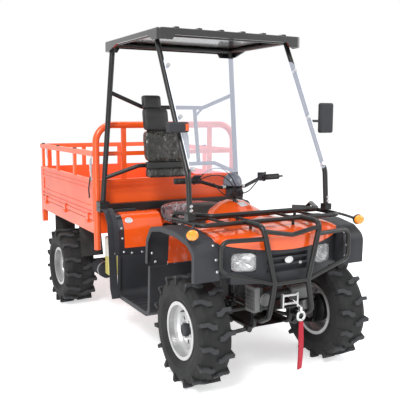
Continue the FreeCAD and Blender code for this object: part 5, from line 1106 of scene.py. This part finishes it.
@dataclass
class SeatBack(Assembly):
    """Stacked vinyl pads on a board, the two lower ones wrapped in film."""

    pads: tuple[BackPad, ...] = (BackPad("lower", -0.284, 0.072, 1.091, 1.158, 0.073, True),
                                 BackPad("waist", -0.280, 0.066, 1.148, 1.208, 0.052, False),
                                 BackPad("main", -0.284, 0.072, 1.201, 1.431, 0.073, True),
                                 BackPad("shoulder", -0.274, -0.083, 1.428, 1.590, 0.062, False),
                                 BackPad("head", -0.271, -0.129, 1.588, 1.684, 0.053, False))
    lower_y: float = 1.147
    lower_z: float = 1.176
    slope: float = 0.073 / 0.422
    tube_reach: float = 0.0155
    cuts: int = 11
    firmness: float = 7.0
    crown_share: float = 0.16
    film_folds: Triple = (24.0, 60.0, 0.6)
    film_depth: float = 0.0035
    film_draw: float = 0.4
    board: float = 0.0085
    board_middle: float = 1.38
    board_gap: float = 0.0005
    board_rounding: float = 0.003
    boards: tuple[tuple[float, ...], ...] = ((-0.241, -0.100, 1.092, 1.576), (-0.241, -0.142, 1.570, 1.668))
    seams: tuple[tuple[float, ...], ...] = ((1.583, -0.277, -0.138, 0.0565), (1.520, -0.278, -0.092, 0.0665))
    pad_smooth_deg: float = 70.0
    seam_sink: float = 0.004
    seam_insets: tuple[float, float] = (0.01, 0.03)
    seam_radius: float = 0.0016

    def lean(self, z: float) -> float:
        """Where the front of the tubes behind the back stands at a height, from the front axle."""
        return self.lower_y + (z - self.lower_z) * self.slope - self.tube_reach

    def sheared(self, thing: Thing, z: float) -> Thing:
        """Leans a piece with the tubes about one height."""
        return self.bench.pushed(thing, lambda point: (point.z - z) * self.slope)

    def cushion(self, low: Vector, high: Vector, crown: float) -> Thing:
        """A closed cushion with a crowned front, whose sides pull in between its corners.

        Args:
            low: The lowest corner of its space.
            high: The highest corner of its space.
            crown: How far the middle of the front stands proud of its edges.

        Returns:
            The new object.
        """
        bpy.ops.object.select_all(action="DESELECT")
        bpy.ops.mesh.primitive_cube_add(size=2.0, location=ORIGIN)
        bpy.ops.object.mode_set(mode="EDIT")
        bpy.ops.mesh.subdivide(number_cuts=self.cuts)
        bpy.ops.object.mode_set(mode="OBJECT")
        middle, half = (low + high) / 2, (high - low) / 2

        def shape(raw: Vector) -> Vector:
            """The place of one point of the cushion.

            Args:
                raw: Its place on the subdivided cube.

            Returns:
                The point in the frame's axes.
            """
            unit = raw / sum(abs(value) ** self.firmness for value in raw) ** (1.0 / self.firmness)
            bulge = (1.0 - unit.x ** 4) * (1.0 - unit.z ** 4)
            depth = half.y - crown * (1.0 - bulge) if unit.y < 0 else half.y
            return middle + Vector((unit.x * half.x, unit.y * depth, unit.z * half.z))

        return self.bench.reshaped(bpy.context.object, shape)

    def one_pad(self, shape: BackPad) -> Thing:
        """Models one pad.

        Args:
            shape: The pad's sides, heights and depth.

        Returns:
            The pad.
        """
        bench = self.bench
        middle = (shape.low + shape.high) / 2
        back = self.lean(middle) - self.board
        pad = self.cushion(bench.at(shape.left, back - shape.depth, shape.low),
                           bench.at(shape.right, back, shape.high), shape.depth * self.crown_share)
        bench.worked(self.sheared(pad, middle), "SUBSURF", levels=2)
        if shape.wrapped:
            bench.pushed(pad, lambda point: self.film_depth * (folds(point, *self.film_folds)
                                                               + self.film_draw))
        finish = DARK_FILM if shape.wrapped else VINYL
        bench.hand_over(pad, f"back_{shape.name}_pad", finish, angle=self.pad_smooth_deg)
        return pad

    def build(self) -> None:
        """Models the pads, the board behind them and the seams."""
        bench = self.bench
        pads = {shape.name: self.one_pad(shape) for shape in self.pads}
        tubes = self.lean(self.board_middle)
        boards = [bench.block(bench.at(left, tubes - self.board, low),
                              bench.at(right, tubes - self.board_gap, high), self.board_rounding)
                  for left, right, low, high in self.boards]
        board = self.sheared(bench.joined(boards), self.board_middle)
        bench.hand_over(board, "back_board", BLACK_PLASTIC, slot="seat_vinyl")
        seams = []
        end, near = self.seam_insets
        for height, left, right, depth in self.seams:
            y = self.lean(height) - self.board - depth + self.seam_sink
            route = ((left + end, y + self.seam_sink), (left + near, y), (right - near, y),
                     (right - end, y + self.seam_sink))
            seams.append(bench.wire([bench.at(x, back, height) for x, back in route], self.seam_radius))
        bench.hand_over(bench.joined(seams), "back_seams", BLACK_PLASTIC, slot="seat_vinyl")
        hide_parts("backrest")


@dataclass
class Strap(Assembly):
    """The red webbing that hangs doubled from the winch's hook."""

    width: float = 0.036
    gap: float = 0.0055
    thickness: float = 0.0016
    facets: tuple[int, int] = (10, 90)
    gather_share: float = 0.72
    gather_rate: float = 3.0
    sway: float = 0.006
    sway_turns: float = 4.0
    twist: float = 0.30
    offset: float = 0.008
    smooth_deg: float = 50.0

    def __post_init__(self) -> None:
        """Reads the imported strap's box and works out the web's run."""
        self.low, self.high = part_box("winch_strap")
        self.drop = self.high.z - self.low.z - self.gap
        self.bend = math.pi * self.gap / 2
        self.total = self.drop * 2 + self.bend

    def web_point(self, across: float, along: float) -> Vector:
        """A point of the doubled web.

        Args:
            across: The share of the width.
            along: The share of the length.

        Returns:
            The point in the frame's axes.
        """
        run = along * self.total
        half = self.gap / 2
        if run < self.drop:
            y, z = -half, self.high.z - run
        elif run < self.drop + self.bend:
            turn = (run - self.drop) / half
            y, z = -half * math.cos(turn), self.high.z - self.drop - half * math.sin(turn)
        else:
            y, z = half, self.high.z - self.drop + (run - self.drop - self.bend)
        fallen = (self.high.z - z) / self.drop
        gather = self.gather_share + (1.0 - self.gather_share) * min(1.0, fallen * self.gather_rate)
        sway = self.sway * math.sin(fallen * self.sway_turns) * fallen
        twist = self.twist * fallen
        side = (across - 0.5) * self.width * gather
        return Vector(((self.low.x + self.high.x) / 2 - self.offset + side * math.cos(twist) + sway,
                       (self.low.y + self.high.y) / 2 + y + side * math.sin(twist), z))

    def build(self) -> None:
        """Models the doubled web with its fold at the bottom."""
        bench = self.bench
        web = bench.worked(bench.grid(*self.facets, self.web_point), "SOLIDIFY", thickness=self.thickness)
        bench.hand_over(web, "hook_webbing", WEBBING, angle=self.smooth_deg)
        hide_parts("winch_strap")


@dataclass
class WinchTrim(Assembly):
    """Silver fairlead, rollers, the clutch knob and the motor's ribs."""

    plate_lefts: tuple[float, ...] = (-0.0485, 0.0515)
    plate_width: float = 0.011
    plate_low: tuple[float, float] = (-0.2875, 0.4485)
    plate_high: tuple[float, float] = (-0.2645, 0.5355)
    plate_rounding: float = 0.002
    roller_place: tuple[float, float] = (-0.0375, -0.276)
    roller_heights: tuple[float, ...] = (0.4731, 0.5211)
    roller: Turning = Turning(((0.0078, 0.0), (0.0090, 0.004), (0.0078, 0.010), (0.0078, 0.079),
                               (0.0090, 0.085), (0.0078, 0.089)), 20)
    knob_place: Triple = (-0.136, -0.2350, 0.503)
    knob: Turning = Turning(((0.038, 0.0), (0.038, 0.008), (0.032, 0.011), (0.032, 0.018),
                             (0.014, 0.021)), 12)
    knob_smooth_deg: float = 20.0
    rib_ys: tuple[float, ...] = (-0.228, -0.210, -0.192, -0.174, -0.156)
    rib_half: float = 0.003
    rib_xs: tuple[float, float] = (-0.2065, -0.1990)
    rib_zs: tuple[float, float] = (0.446, 0.566)
    rib_rounding: float = 0.0015

    def bars(self, name: str, finish: Finish, ends: list[tuple[Triple, Triple]], rounding: float) -> None:
        """Models a row of like bars as one piece.

        Args:
            name: The piece's name.
            finish: Its finish.
            ends: Each bar's lowest and highest corner from the front axle.
            rounding: The width of its rounding.
        """
        bench = self.bench
        bars = [bench.block(bench.at(*low), bench.at(*high), rounding) for low, high in ends]
        bench.hand_over(bench.joined(bars), name, finish)

    def build(self) -> None:
        """Models the winch's trim."""
        bench = self.bench
        self.bars("fairlead_plates", ZINC,
                  [((left, *self.plate_low), (left + self.plate_width, *self.plate_high))
                   for left in self.plate_lefts], self.plate_rounding)
        rollers = [bench.turned(bench.at(*self.roller_place, height), Side.LEFT.out, self.roller)
                   for height in self.roller_heights]
        bench.hand_over(bench.joined(rollers), "fairlead_rollers", ZINC)
        knob = bench.turned(bench.at(*self.knob_place), AHEAD, self.knob)
        bench.hand_over(knob, "winch_knob", CASTING, angle=self.knob_smooth_deg)
        (left, right), (foot, top) = self.rib_xs, self.rib_zs
        self.bars("winch_ribs", CASTING, [((left, y - self.rib_half, foot), (right, y + self.rib_half, top))
                                          for y in self.rib_ys], self.rib_rounding)


@dataclass
class BedFittings(Assembly):
    """Latches on the drop sides, clips on their rails and hooks on the tailgate."""

    gate_x: float = 0.6012
    latch_plates: tuple[tuple[Triple, Triple, float], ...] = (
        ((0.0, 1.366, 1.155), (0.024, 0.19, 0.003), 0.001),
        ((0.003, 1.366, 1.10), (0.017, 0.09, 0.007), 0.002))
    latch_screws: tuple[Triple, ...] = ((0.003, 1.366, 1.075), (0.003, 1.366, 1.235))
    latch_screw: Turning = replace(SCREW, sides=12)
    hoop: tuple[Triple, ...] = ((0.010, 1.359, 1.12), (0.012, 1.359, 1.20), (0.010, 1.366, 1.235),
                                (0.012, 1.373, 1.20), (0.010, 1.373, 1.12))
    hoop_radius: float = 0.0025
    lever: tuple[Triple, ...] = ((0.010, 1.366, 1.09), (0.018, 1.367, 1.04), (0.024, 1.372, 0.99),
                                 (0.014, 1.382, 0.945), (0.016, 1.384, 0.93))
    lever_radius: float = 0.0055
    slat_ys: tuple[float, ...] = (2.773, 2.292, 1.811)
    clip_x: float = 0.588
    clip_half: tuple[float, float] = (0.012, 0.020)
    clip_sink: float = 0.0002
    clip_height: float = 0.008
    clip_rounding: float = 0.003
    hook: tuple[Triple, ...] = ((0.530, 0.003, 1.262), (0.536, 0.012, 1.250), (0.541, 0.014, 1.20),
                                (0.536, 0.012, 1.15), (0.528, 0.010, 1.13), (0.520, 0.012, 1.15),
                                (0.524, 0.012, 1.17))
    hook_radius: float = 0.003

    def latch(self, side: Side) -> None:
        """Models the toggle latch at the front end of one drop side.

        Args:
            side: The side of the vehicle.
        """
        bench, gate = self.bench, f"{side.word}_gate"

        def on_gate(place: Triple) -> Vector:
            """A place whose x is measured out from the drop side's face."""
            return bench.at(self.gate_x + place[0], *place[1:], side)

        parts = [bench.slab(on_gate(place), side.out, size, rounding)
                 for place, size, rounding in self.latch_plates]
        parts += [bench.turned(on_gate(place), side.out, self.latch_screw) for place in self.latch_screws]
        parts.append(bench.wire([on_gate(place) for place in self.hoop], self.hoop_radius))
        bench.hand_over(bench.joined(parts), f"{gate}_latch", ZINC, gate)
        lever = bench.wire([on_gate(place) for place in self.lever], self.lever_radius)
        bench.hand_over(lever, f"{side.word}_latch_lever", BLACK_PLASTIC, gate)

    def clips(self, side: Side) -> None:
        """Models the black caps on one drop side's top rail.

        Args:
            side: The side of the vehicle.
        """
        bench, gate = self.bench, f"{side.word}_gate"
        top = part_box(gate)[1].z
        x = side.value * self.clip_x
        half_x, half_y = self.clip_half
        caps = [bench.block(bench.at(x - half_x, y - half_y, top - self.clip_sink),
                            bench.at(x + half_x, y + half_y, top + self.clip_height), self.clip_rounding)
                for y in self.slat_ys]
        bench.hand_over(bench.joined(caps), f"{side.word}_rail_clips", BLACK_PLASTIC, gate)

    def tail_hook(self, side: Side) -> None:
        """Models the wire hook that holds one end of the tailgate's rail.

        Args:
            side: The side of the vehicle.
        """
        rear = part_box("left_gate")[1].y
        hook = self.bench.wire([Vector((side.value * x, rear + y, z)) for x, y, z in self.hook],
                               self.hook_radius)
        self.bench.hand_over(hook, f"{side.word}_tail_hook", ZINC, "tailgate")

    def build(self) -> None:
        """Models every fitting of the bed."""
        for side in Side:
            self.latch(side)
            self.clips(side)
            self.tail_hook(side)


@dataclass
class Controls(Assembly):
    """Ribbed grips, switch boxes, reservoirs and the cables of the handlebar."""

    bar_end: Triple = (0.390, 0.405, 1.130)
    bar_rise: Triple = (0.240, 0.385, 1.130)
    grip_radius: float = 0.0178
    grip_length: float = 0.131
    grip_lap: float = 0.001
    grip_sides: int = 20
    flange_shares: Profile = ((1.5, 0.0), (1.5, 0.004), (1.0, 0.006))
    ribs: int = 14
    first_rib: float = 0.008
    ribbed_off: float = 0.014
    rib_shares: Profile = ((1.07, 0.2), (1.07, 0.6), (1.01, 0.8))
    tip_shares: Profile = ((1.1, -0.002), (0.7, 0.002))
    box_gap: float = 0.022
    box_corners: tuple[Triple, Triple] = ((-0.019, -0.017, -0.020), (0.019, 0.016, 0.028))
    box_rounding: float = 0.005
    box_round_steps: int = 3
    cap_corners: tuple[Triple, Triple] = ((-0.022, -0.030, 0.026), (0.022, 0.012, 0.034))
    small_rounding: float = 0.003
    small_round_steps: int = 2
    cover_corners: tuple[Triple, Triple] = ((-0.048, 0.296, 1.022), (0.048, 0.366, 1.078))
    cover_rounding: float = 0.012
    key_place: Triple = (0.030, 0.297, 1.050)
    key: Turning = Turning(((0.013, 0.0), (0.013, 0.010), (0.010, 0.012), (0.010, 0.016), (0.004, 0.017)), 18)
    clamp_corners: tuple[Triple, Triple] = ((0.060, 0.330, 1.076), (0.080, 0.366, 1.096))
    cable_radius: float = 0.0035
    cables: tuple[tuple[str, tuple[Triple, ...]], ...] = (
        ("right_brake_cable", ((-0.236, 0.352, 1.136), (-0.225, 0.300, 1.165), (-0.150, 0.225, 1.178),
                               (-0.080, 0.210, 1.110), (-0.045, 0.245, 1.048), (-0.034, 0.305, 1.040))),
        ("left_brake_cable", ((0.236, 0.352, 1.136), (0.225, 0.300, 1.168), (0.155, 0.215, 1.185),
                              (0.080, 0.205, 1.115), (0.045, 0.245, 1.050), (0.030, 0.305, 1.042))),
        ("throttle_cable", ((-0.222, 0.372, 1.158), (-0.190, 0.330, 1.205), (-0.110, 0.290, 1.215),
                            (-0.060, 0.255, 1.150), (-0.024, 0.258, 1.078), (-0.010, 0.305, 1.052))),
        ("choke_cable", ((-0.140, 0.350, 1.112), (-0.150, 0.290, 1.085), (-0.112, 0.258, 1.044),
                         (-0.070, 0.272, 1.032), (-0.040, 0.312, 1.040))))

    def grip_form(self) -> Turning:
        """Draws the grip from its inner end.

        Returns:
            The form of its flange, its ribs and its tip.
        """
        radius, length = self.grip_radius, self.grip_length
        pitch = (length - self.ribbed_off) / self.ribs
        return Turning((*((radius * share, height) for share, height in self.flange_shares),
                        *((radius * share, self.first_rib + pitch * (index + along))
                          for index in range(self.ribs) for share, along in self.rib_shares),
                        *((radius * share, length + past) for share, past in self.tip_shares)),
                       self.grip_sides)

    def grip(self, side: Side) -> None:
        """Models one rubber grip, its switch box and the reservoir on that.

        Args:
            side: The side of the vehicle.
        """
        bench = self.bench
        end = bench.at(*self.bar_end, side)
        aim = (end - bench.at(*self.bar_rise, side)).normalized()
        start = end - aim * (self.grip_length - self.grip_lap)
        grip = bench.turned(start, aim, self.grip_form())
        bench.hand_over(grip, f"{side.word}_grip", RUBBER, "steering")
        middle = start - aim * self.box_gap
        parts = [bench.block(middle + Vector(low), middle + Vector(high), rounding, steps)
                 for (low, high), rounding, steps in (
                     (self.box_corners, self.box_rounding, self.box_round_steps),
                     (self.cap_corners, self.small_rounding, self.small_round_steps))]
        bench.hand_over(bench.joined(parts), f"{side.word}_switch_box", BLACK_PLASTIC, "steering")

    def column_parts(self) -> None:
        """Models the cover over the column's clamp, its key switch and the clamp's silver caps."""
        bench = self.bench
        low, high = self.cover_corners
        cover = bench.block(bench.at(*low), bench.at(*high), self.cover_rounding, self.box_round_steps)
        key = bench.turned(bench.at(*self.key_place), AHEAD, self.key)
        bench.hand_over(bench.joined([cover, key]), "column_cover", BLACK_PLASTIC, "steering")
        (near, low_y, low_z), (far, high_y, high_z) = self.clamp_corners
        caps = [bench.block(bench.at(left, low_y, low_z), bench.at(right, high_y, high_z),
                            self.small_rounding) for left, right in ((-far, -near), (near, far))]
        bench.hand_over(bench.joined(caps), "clamp_caps", ZINC, "steering")

    def build(self) -> None:
        """Models the handlebar's small parts and its cables, each a rigid wire on the steering."""
        for side in Side:
            self.grip(side)
        self.column_parts()
        for name, points in self.cables:
            cable = self.bench.wire([self.bench.at(*point) for point in points], self.cable_radius)
            self.bench.hand_over(cable, name, BLACK_PLASTIC, "steering")


@dataclass
class SmallTrim(Assembly):
    """Blank plates, painted highlight wires on the screen's edges, mirror glasses, fender trim, the bottle's
    cap and the canister's band.
    """

    edge_inset: float = 0.032
    edge_foot: tuple[float, float] = (0.003, 0.001)
    edge_head: tuple[float, float] = (-0.001, -0.003)
    edge_radius: float = 0.0026
    plate: Turning = Turning(((0.0130, 0.0), (0.0130, 0.0020), (0.0115, 0.0032)), 28)
    nose_place: Triple = (0.012, -0.2550, 0.724)
    nose_stretch: tuple[float, float] = (2.2, 1.5)
    fender_place: Triple = (0.452, 1.0175, 0.8015)
    fender_aim: Triple = (0.0, -0.87, 0.50)
    fender_stretch: tuple[float, float] = (2.2, 1.7)
    tank_place: Triple = (0.030, 0.2795, 0.9735)
    tank_aim: Triple = (0.12, -0.44, 0.89)
    tank_size: Triple = (0.062, 0.046, 0.004)
    tank_rounding: float = 0.0015
    mirror_place: Triple = (0.620, 0.2165, 1.523)
    mirror_size: Triple = (0.096, 0.178, 0.0015)
    mirror_rounding: float = 0.0006
    reflector_place: Triple = (-0.472, 0.0705, 1.470)
    reflector_size: Triple = (0.020, 0.040, 0.003)
    reflector_rounding: float = 0.001
    return_middle: Triple = (0.4310, -0.1770, 0.750)
    return_half: Triple = (0.0008, 0.0520, 0.100)
    stay: Turning = Turning(((0.012, 0.0), (0.015, 0.003), (0.015, 0.172), (0.012, 0.175)), 20)
    stay_place: Triple = (0.505, 1.182, 0.848)
    stay_bolts: tuple[Triple, ...] = ((0.494, 1.168, 0.850), (0.340, 1.168, 0.850))
    strip: Profile = ((0.979, 0.566), (0.983, 0.620), (0.989, 0.681), (0.993, 0.735), (0.999, 0.768),
                      (1.018, 0.803), (1.045, 0.838), (1.080, 0.864), (1.120, 0.880))
    strip_xs: tuple[float, float] = (0.538, 0.574)
    strip_wall: float = 0.003
    cap: Turning = Turning(((0.030, 0.0), (0.031, 0.004), (0.031, 0.020), (0.027, 0.026), (0.012, 0.028)), 24)
    cap_sink: float = 0.020
    band: Turning = Turning(((0.0590, 0.0), (0.0600, 0.002), (0.0600, 0.020), (0.0590, 0.022)), 36)
    band_start: float = 0.045

    def screen_edges(self) -> None:
        """Models pale glowing wires down the windscreen's sides: a painted highlight along its edges."""
        bench = self.bench
        low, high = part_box("windscreen")
        inset = Vector((0.0, high.y - low.y, high.z - low.z)).normalized() * self.edge_inset
        for side in Side:
            x = high.x if side is Side.LEFT else low.x
            foot = Vector((x, low.y + self.edge_foot[0], low.z + self.edge_foot[1])) + inset
            head = Vector((x, high.y + self.edge_head[0], high.z + self.edge_head[1])) - inset
            edge = bench.wire([foot, (foot + head) / 2, head], self.edge_radius)
            bench.hand_over(edge, f"{side.word}_screen_edge", PAINTED_EDGE_HIGHLIGHT)

    def oval(self, name: str, place: Vector, aim: Vector, stretch: tuple[float, float]) -> None:
        """Models one blank oval plate.

        Args:
            name: The plate's name.
            place: The middle of its back.
            aim: The way that it faces.
            stretch: How much wider and taller it is than the turned blank.
        """
        bench = self.bench
        wide, tall = stretch
        blank = bench.reshaped(bench.turned(ORIGIN, UP, self.plate),
                               lambda point: Vector((point.x * wide, point.y * tall, point.z)))
        bench.hand_over(bench.settle(blank, place, aim), name, BLANK_PLATE)

    def mirror_glass(self) -> None:
        """Models the left mirror's glass and the amber reflector on the folded right one."""
        bench = self.bench
        glass = bench.slab(bench.at(*self.mirror_place), BEHIND, self.mirror_size, self.mirror_rounding)
        bench.hand_over(glass, "left_mirror_glass", MIRROR)
        amber = bench.slab(bench.at(*self.reflector_place), AHEAD, self.reflector_size,
                           self.reflector_rounding)
        bench.hand_over(amber, "right_mirror_reflector", REFLECTOR)

    def bottle_and_canister(self) -> None:
        """Models the bottle's cap and the canister's band."""
        bench = self.bench
        low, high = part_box("washer_bottle")
        top = Vector(((low.x + high.x) / 2, (low.y + high.y) / 2, high.z - self.cap_sink))
        bench.hand_over(bench.turned(top, UP, self.cap), "bottle_cap", BLANK_PLATE, slot="bottle_white")
        low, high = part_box("air_canister")
        start = Vector(((low.x + high.x) / 2, low.y + self.band_start, (low.z + high.z) / 2))
        bench.hand_over(bench.turned(start, BEHIND, self.band), "canister_band", ZINC)

    def plates(self) -> None:
        """Models the blank plates of the nose, the rear fenders and the tank."""
        bench = self.bench
        self.oval("nose_badge", bench.at(*self.nose_place), AHEAD, self.nose_stretch)
        for side in Side:
            self.oval(f"{side.word}_fender_plate", bench.at(*self.fender_place, side),
                      Vector(self.fender_aim), self.fender_stretch)
        tank = bench.slab(bench.at(*self.tank_place), Vector(self.tank_aim), self.tank_size,
                          self.tank_rounding)
        bench.hand_over(tank, "tank_plate", BLANK_PLATE)

    def fender_stay(self, side: Side) -> None:
        """Models the short bar with its bolts between one rear fender and the sill over it.

        Args:
            side: The side of the vehicle.
        """
        bench = self.bench
        parts = [bench.turned(bench.at(*self.stay_place, side), -side.out, self.stay)]
        parts += [bench.turned(bench.at(*place, side), AHEAD, BOLT) for place in self.stay_bolts]
        bench.hand_over(bench.joined(parts), f"{side.word}_fender_stay", BLACK_STEEL)

    def fender_edge(self, side: Side) -> None:
        """Models the black strip that closes one rear fender's outer edge against the footwell.

        Args:
            side: The side of the vehicle.
        """
        bench = self.bench
        last = len(self.strip) - 1

        def shape(across: float, along: float) -> Vector:
            """The place of one point of the strip."""
            y, z = self.strip[round(along * last)]
            return bench.at(self.strip_xs[round(across)], y - self.strip_wall, z, side)

        strip = bench.worked(bench.grid(1, last, shape), "SOLIDIFY", thickness=self.strip_wall, offset=0.0)
        bench.hand_over(strip, f"{side.word}_fender_edge", BLACK_PLASTIC)

    def flare_return(self, side: Side) -> None:
        """Models the thin return that closes one end of the nose panel to the flare."""
        middle, half = self.bench.at(*self.return_middle, side), Vector(self.return_half)
        self.bench.hand_over(self.bench.block(middle - half, middle + half), f"{side.word}_flare_return",
                             BLACK_PLASTIC)

    def build(self) -> None:
        """Models all the small trim."""
        self.screen_edges()
        self.mirror_glass()
        self.bottle_and_canister()
        self.plates()
        for fitting in (self.fender_stay, self.fender_edge, self.flare_return):
            for side in Side:
                fitting(side)


@dataclass(frozen=True)
class StudioLamp:
    """One square soft lamp: its place, its side in metres, its power and the point that it faces."""

    name: str
    place: Triple
    size: float
    watts: float
    aim: Triple = (0.0, 0.0, 0.9)


@dataclass
class Studio:
    """The photograph's camera, a pale floor and plain soft light."""

    camera_place: Triple = (-2.124, -4.427, 1.526)
    yaw_deg: float = 28.25
    pitch_deg: float = 7.37
    roll_deg: float = 0.14
    lens_mm: float = 57.6
    sensor_mm: float = 36.0
    far_clip: float = 100.0
    floor_side: float = 60.0
    floor_colour: Colour = grey(0.88)
    floor_roughness: float = 0.9
    floor_glow: float = 0.62
    sky_colour: Colour = (0.93, 0.96, 1.0)
    sky_strength: float = 0.55
    lamps: tuple[StudioLamp, ...] = (
        StudioLamp("key_lamp", (-4.0, -4.5, 5.5), 2.0, 370.0),
        StudioLamp("fill_lamp", (4.5, -3.0, 3.0), 3.0, 110.0),
        StudioLamp("top_lamp", (0.0, 1.5, 6.0), 3.0, 220.0),
        StudioLamp("low_lamp", (-3.5, -4.0, 0.9), 1.5, 34.0, (0.0, -0.4, 0.5)))

    def add_camera(self) -> None:
        """Places the camera where the photograph was taken from."""
        data = bpy.data.cameras.new("photo_camera")
        data.lens = self.lens_mm
        data.sensor_width = self.sensor_mm
        data.clip_end = self.far_clip
        camera = bpy.data.objects.new("photo_camera", data)
        bpy.context.scene.collection.objects.link(camera)
        yaw, pitch, roll = (math.radians(value) for value in (self.yaw_deg, self.pitch_deg, self.roll_deg))
        turn = (Matrix.Rotation(-yaw, 4, "Z") @ Matrix.Rotation(math.pi / 2 - pitch, 4, "X")
                @ Matrix.Rotation(roll, 4, "Z"))
        camera.matrix_world = Matrix.Translation(Vector(self.camera_place)) @ turn
        bpy.context.scene.camera = camera

    def shown(self, graph: Graph) -> Socket:
        """Tells what is seen from what lights the object.

        Args:
            graph: The nodes of the material or the world.

        Returns:
            A factor of 1 for what the camera, metal and glass see, and 0 for the light.
        """
        rays = graph.node("LightPath", {}).outputs
        seen = graph.maths("MAXIMUM", rays["Is Camera Ray"], rays["Is Glossy Ray"])
        return graph.maths("MAXIMUM", seen, rays["Is Transmission Ray"])

    def floor_material(self) -> bpy.types.Material:
        """A matt pale floor that shows near white to the camera and keeps the object's shadow.

        Returns:
            The material.
        """
        material = bpy.data.materials.new("pale_floor")
        material.use_nodes = True
        graph = Graph(material.node_tree)
        shader = graph.fill(graph.nodes["Principled BSDF"], {"Roughness": self.floor_roughness,
                                                             "Base Color": self.floor_colour})
        strength = graph.maths("MULTIPLY", self.shown(graph), self.floor_glow)
        glow = graph.node("Emission", {"Color": self.floor_colour, "Strength": strength})
        both = graph.node("AddShader", {0: shader.outputs["BSDF"], 1: glow.outputs["Emission"]})
        graph.fill(graph.nodes["Material Output"], {"Surface": both.outputs["Shader"]})
        return material

    def add_floor(self) -> None:
        """Lays the floor under the vehicle."""
        bpy.ops.mesh.primitive_plane_add(size=self.floor_side, location=ORIGIN)
        floor = bpy.context.object
        floor.name = "studio_floor"
        floor.data.materials.append(self.floor_material())

    def add_world(self) -> None:
        """Sets a white surround for the camera and a plain grey-white one for the light."""
        world = bpy.data.worlds.new("studio_world")
        bpy.context.scene.world = world
        world.use_nodes = True
        graph = Graph(world.node_tree)
        graph.nodes.clear()
        light = graph.node("Background", {"Color": self.sky_colour, "Strength": self.sky_strength})
        white = graph.node("Background", {"Color": grey(1.0)})
        mix = graph.node("MixShader", {"Fac": self.shown(graph), 1: light.outputs["Background"],
                                       2: white.outputs["Background"]})
        graph.node("OutputWorld", {"Surface": mix.outputs["Shader"]})

    def add_lamp(self, lamp: StudioLamp) -> None:
        """Adds one lamp.

        Args:
            lamp: Its place, size, power and aim.
        """
        data = bpy.data.lights.new(lamp.name, "AREA")
        data.size = lamp.size
        data.energy = lamp.watts
        thing = bpy.data.objects.new(lamp.name, data)
        thing.location = lamp.place
        thing.rotation_euler = (Vector(lamp.aim) - Vector(lamp.place)).to_track_quat("-Z", "Y").to_euler()
        bpy.context.scene.collection.objects.link(thing)

    def build(self) -> None:
        """Sets the whole studio up."""
        bpy.context.scene.view_settings.view_transform = "Standard"
        self.add_camera()
        self.add_floor()
        self.add_world()
        for lamp in self.lamps:
            self.add_lamp(lamp)


def main() -> None:
    """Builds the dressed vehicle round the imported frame."""
    logging.basicConfig(level=logging.INFO, format="%(name)s %(message)s")
    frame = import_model()
    bpy.ops.object.select_all(action="DESELECT")
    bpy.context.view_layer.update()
    wardrobe = Wardrobe()
    Studio().build()
    bench = Bench(wardrobe)
    Controls(bench).build()
    wardrobe.dress_frame(frame)
    Saddle(bench).build()
    SeatBack(bench).build()
    Strap(bench).build()
    Lamps(bench).build()
    WheelTrim(bench).build(frame["joints"])
    WinchTrim(bench).build()
    BedFittings(bench).build()
    Fasteners(bench).build()
    SmallTrim(bench).build()


if __name__ == "__main__":
    main()
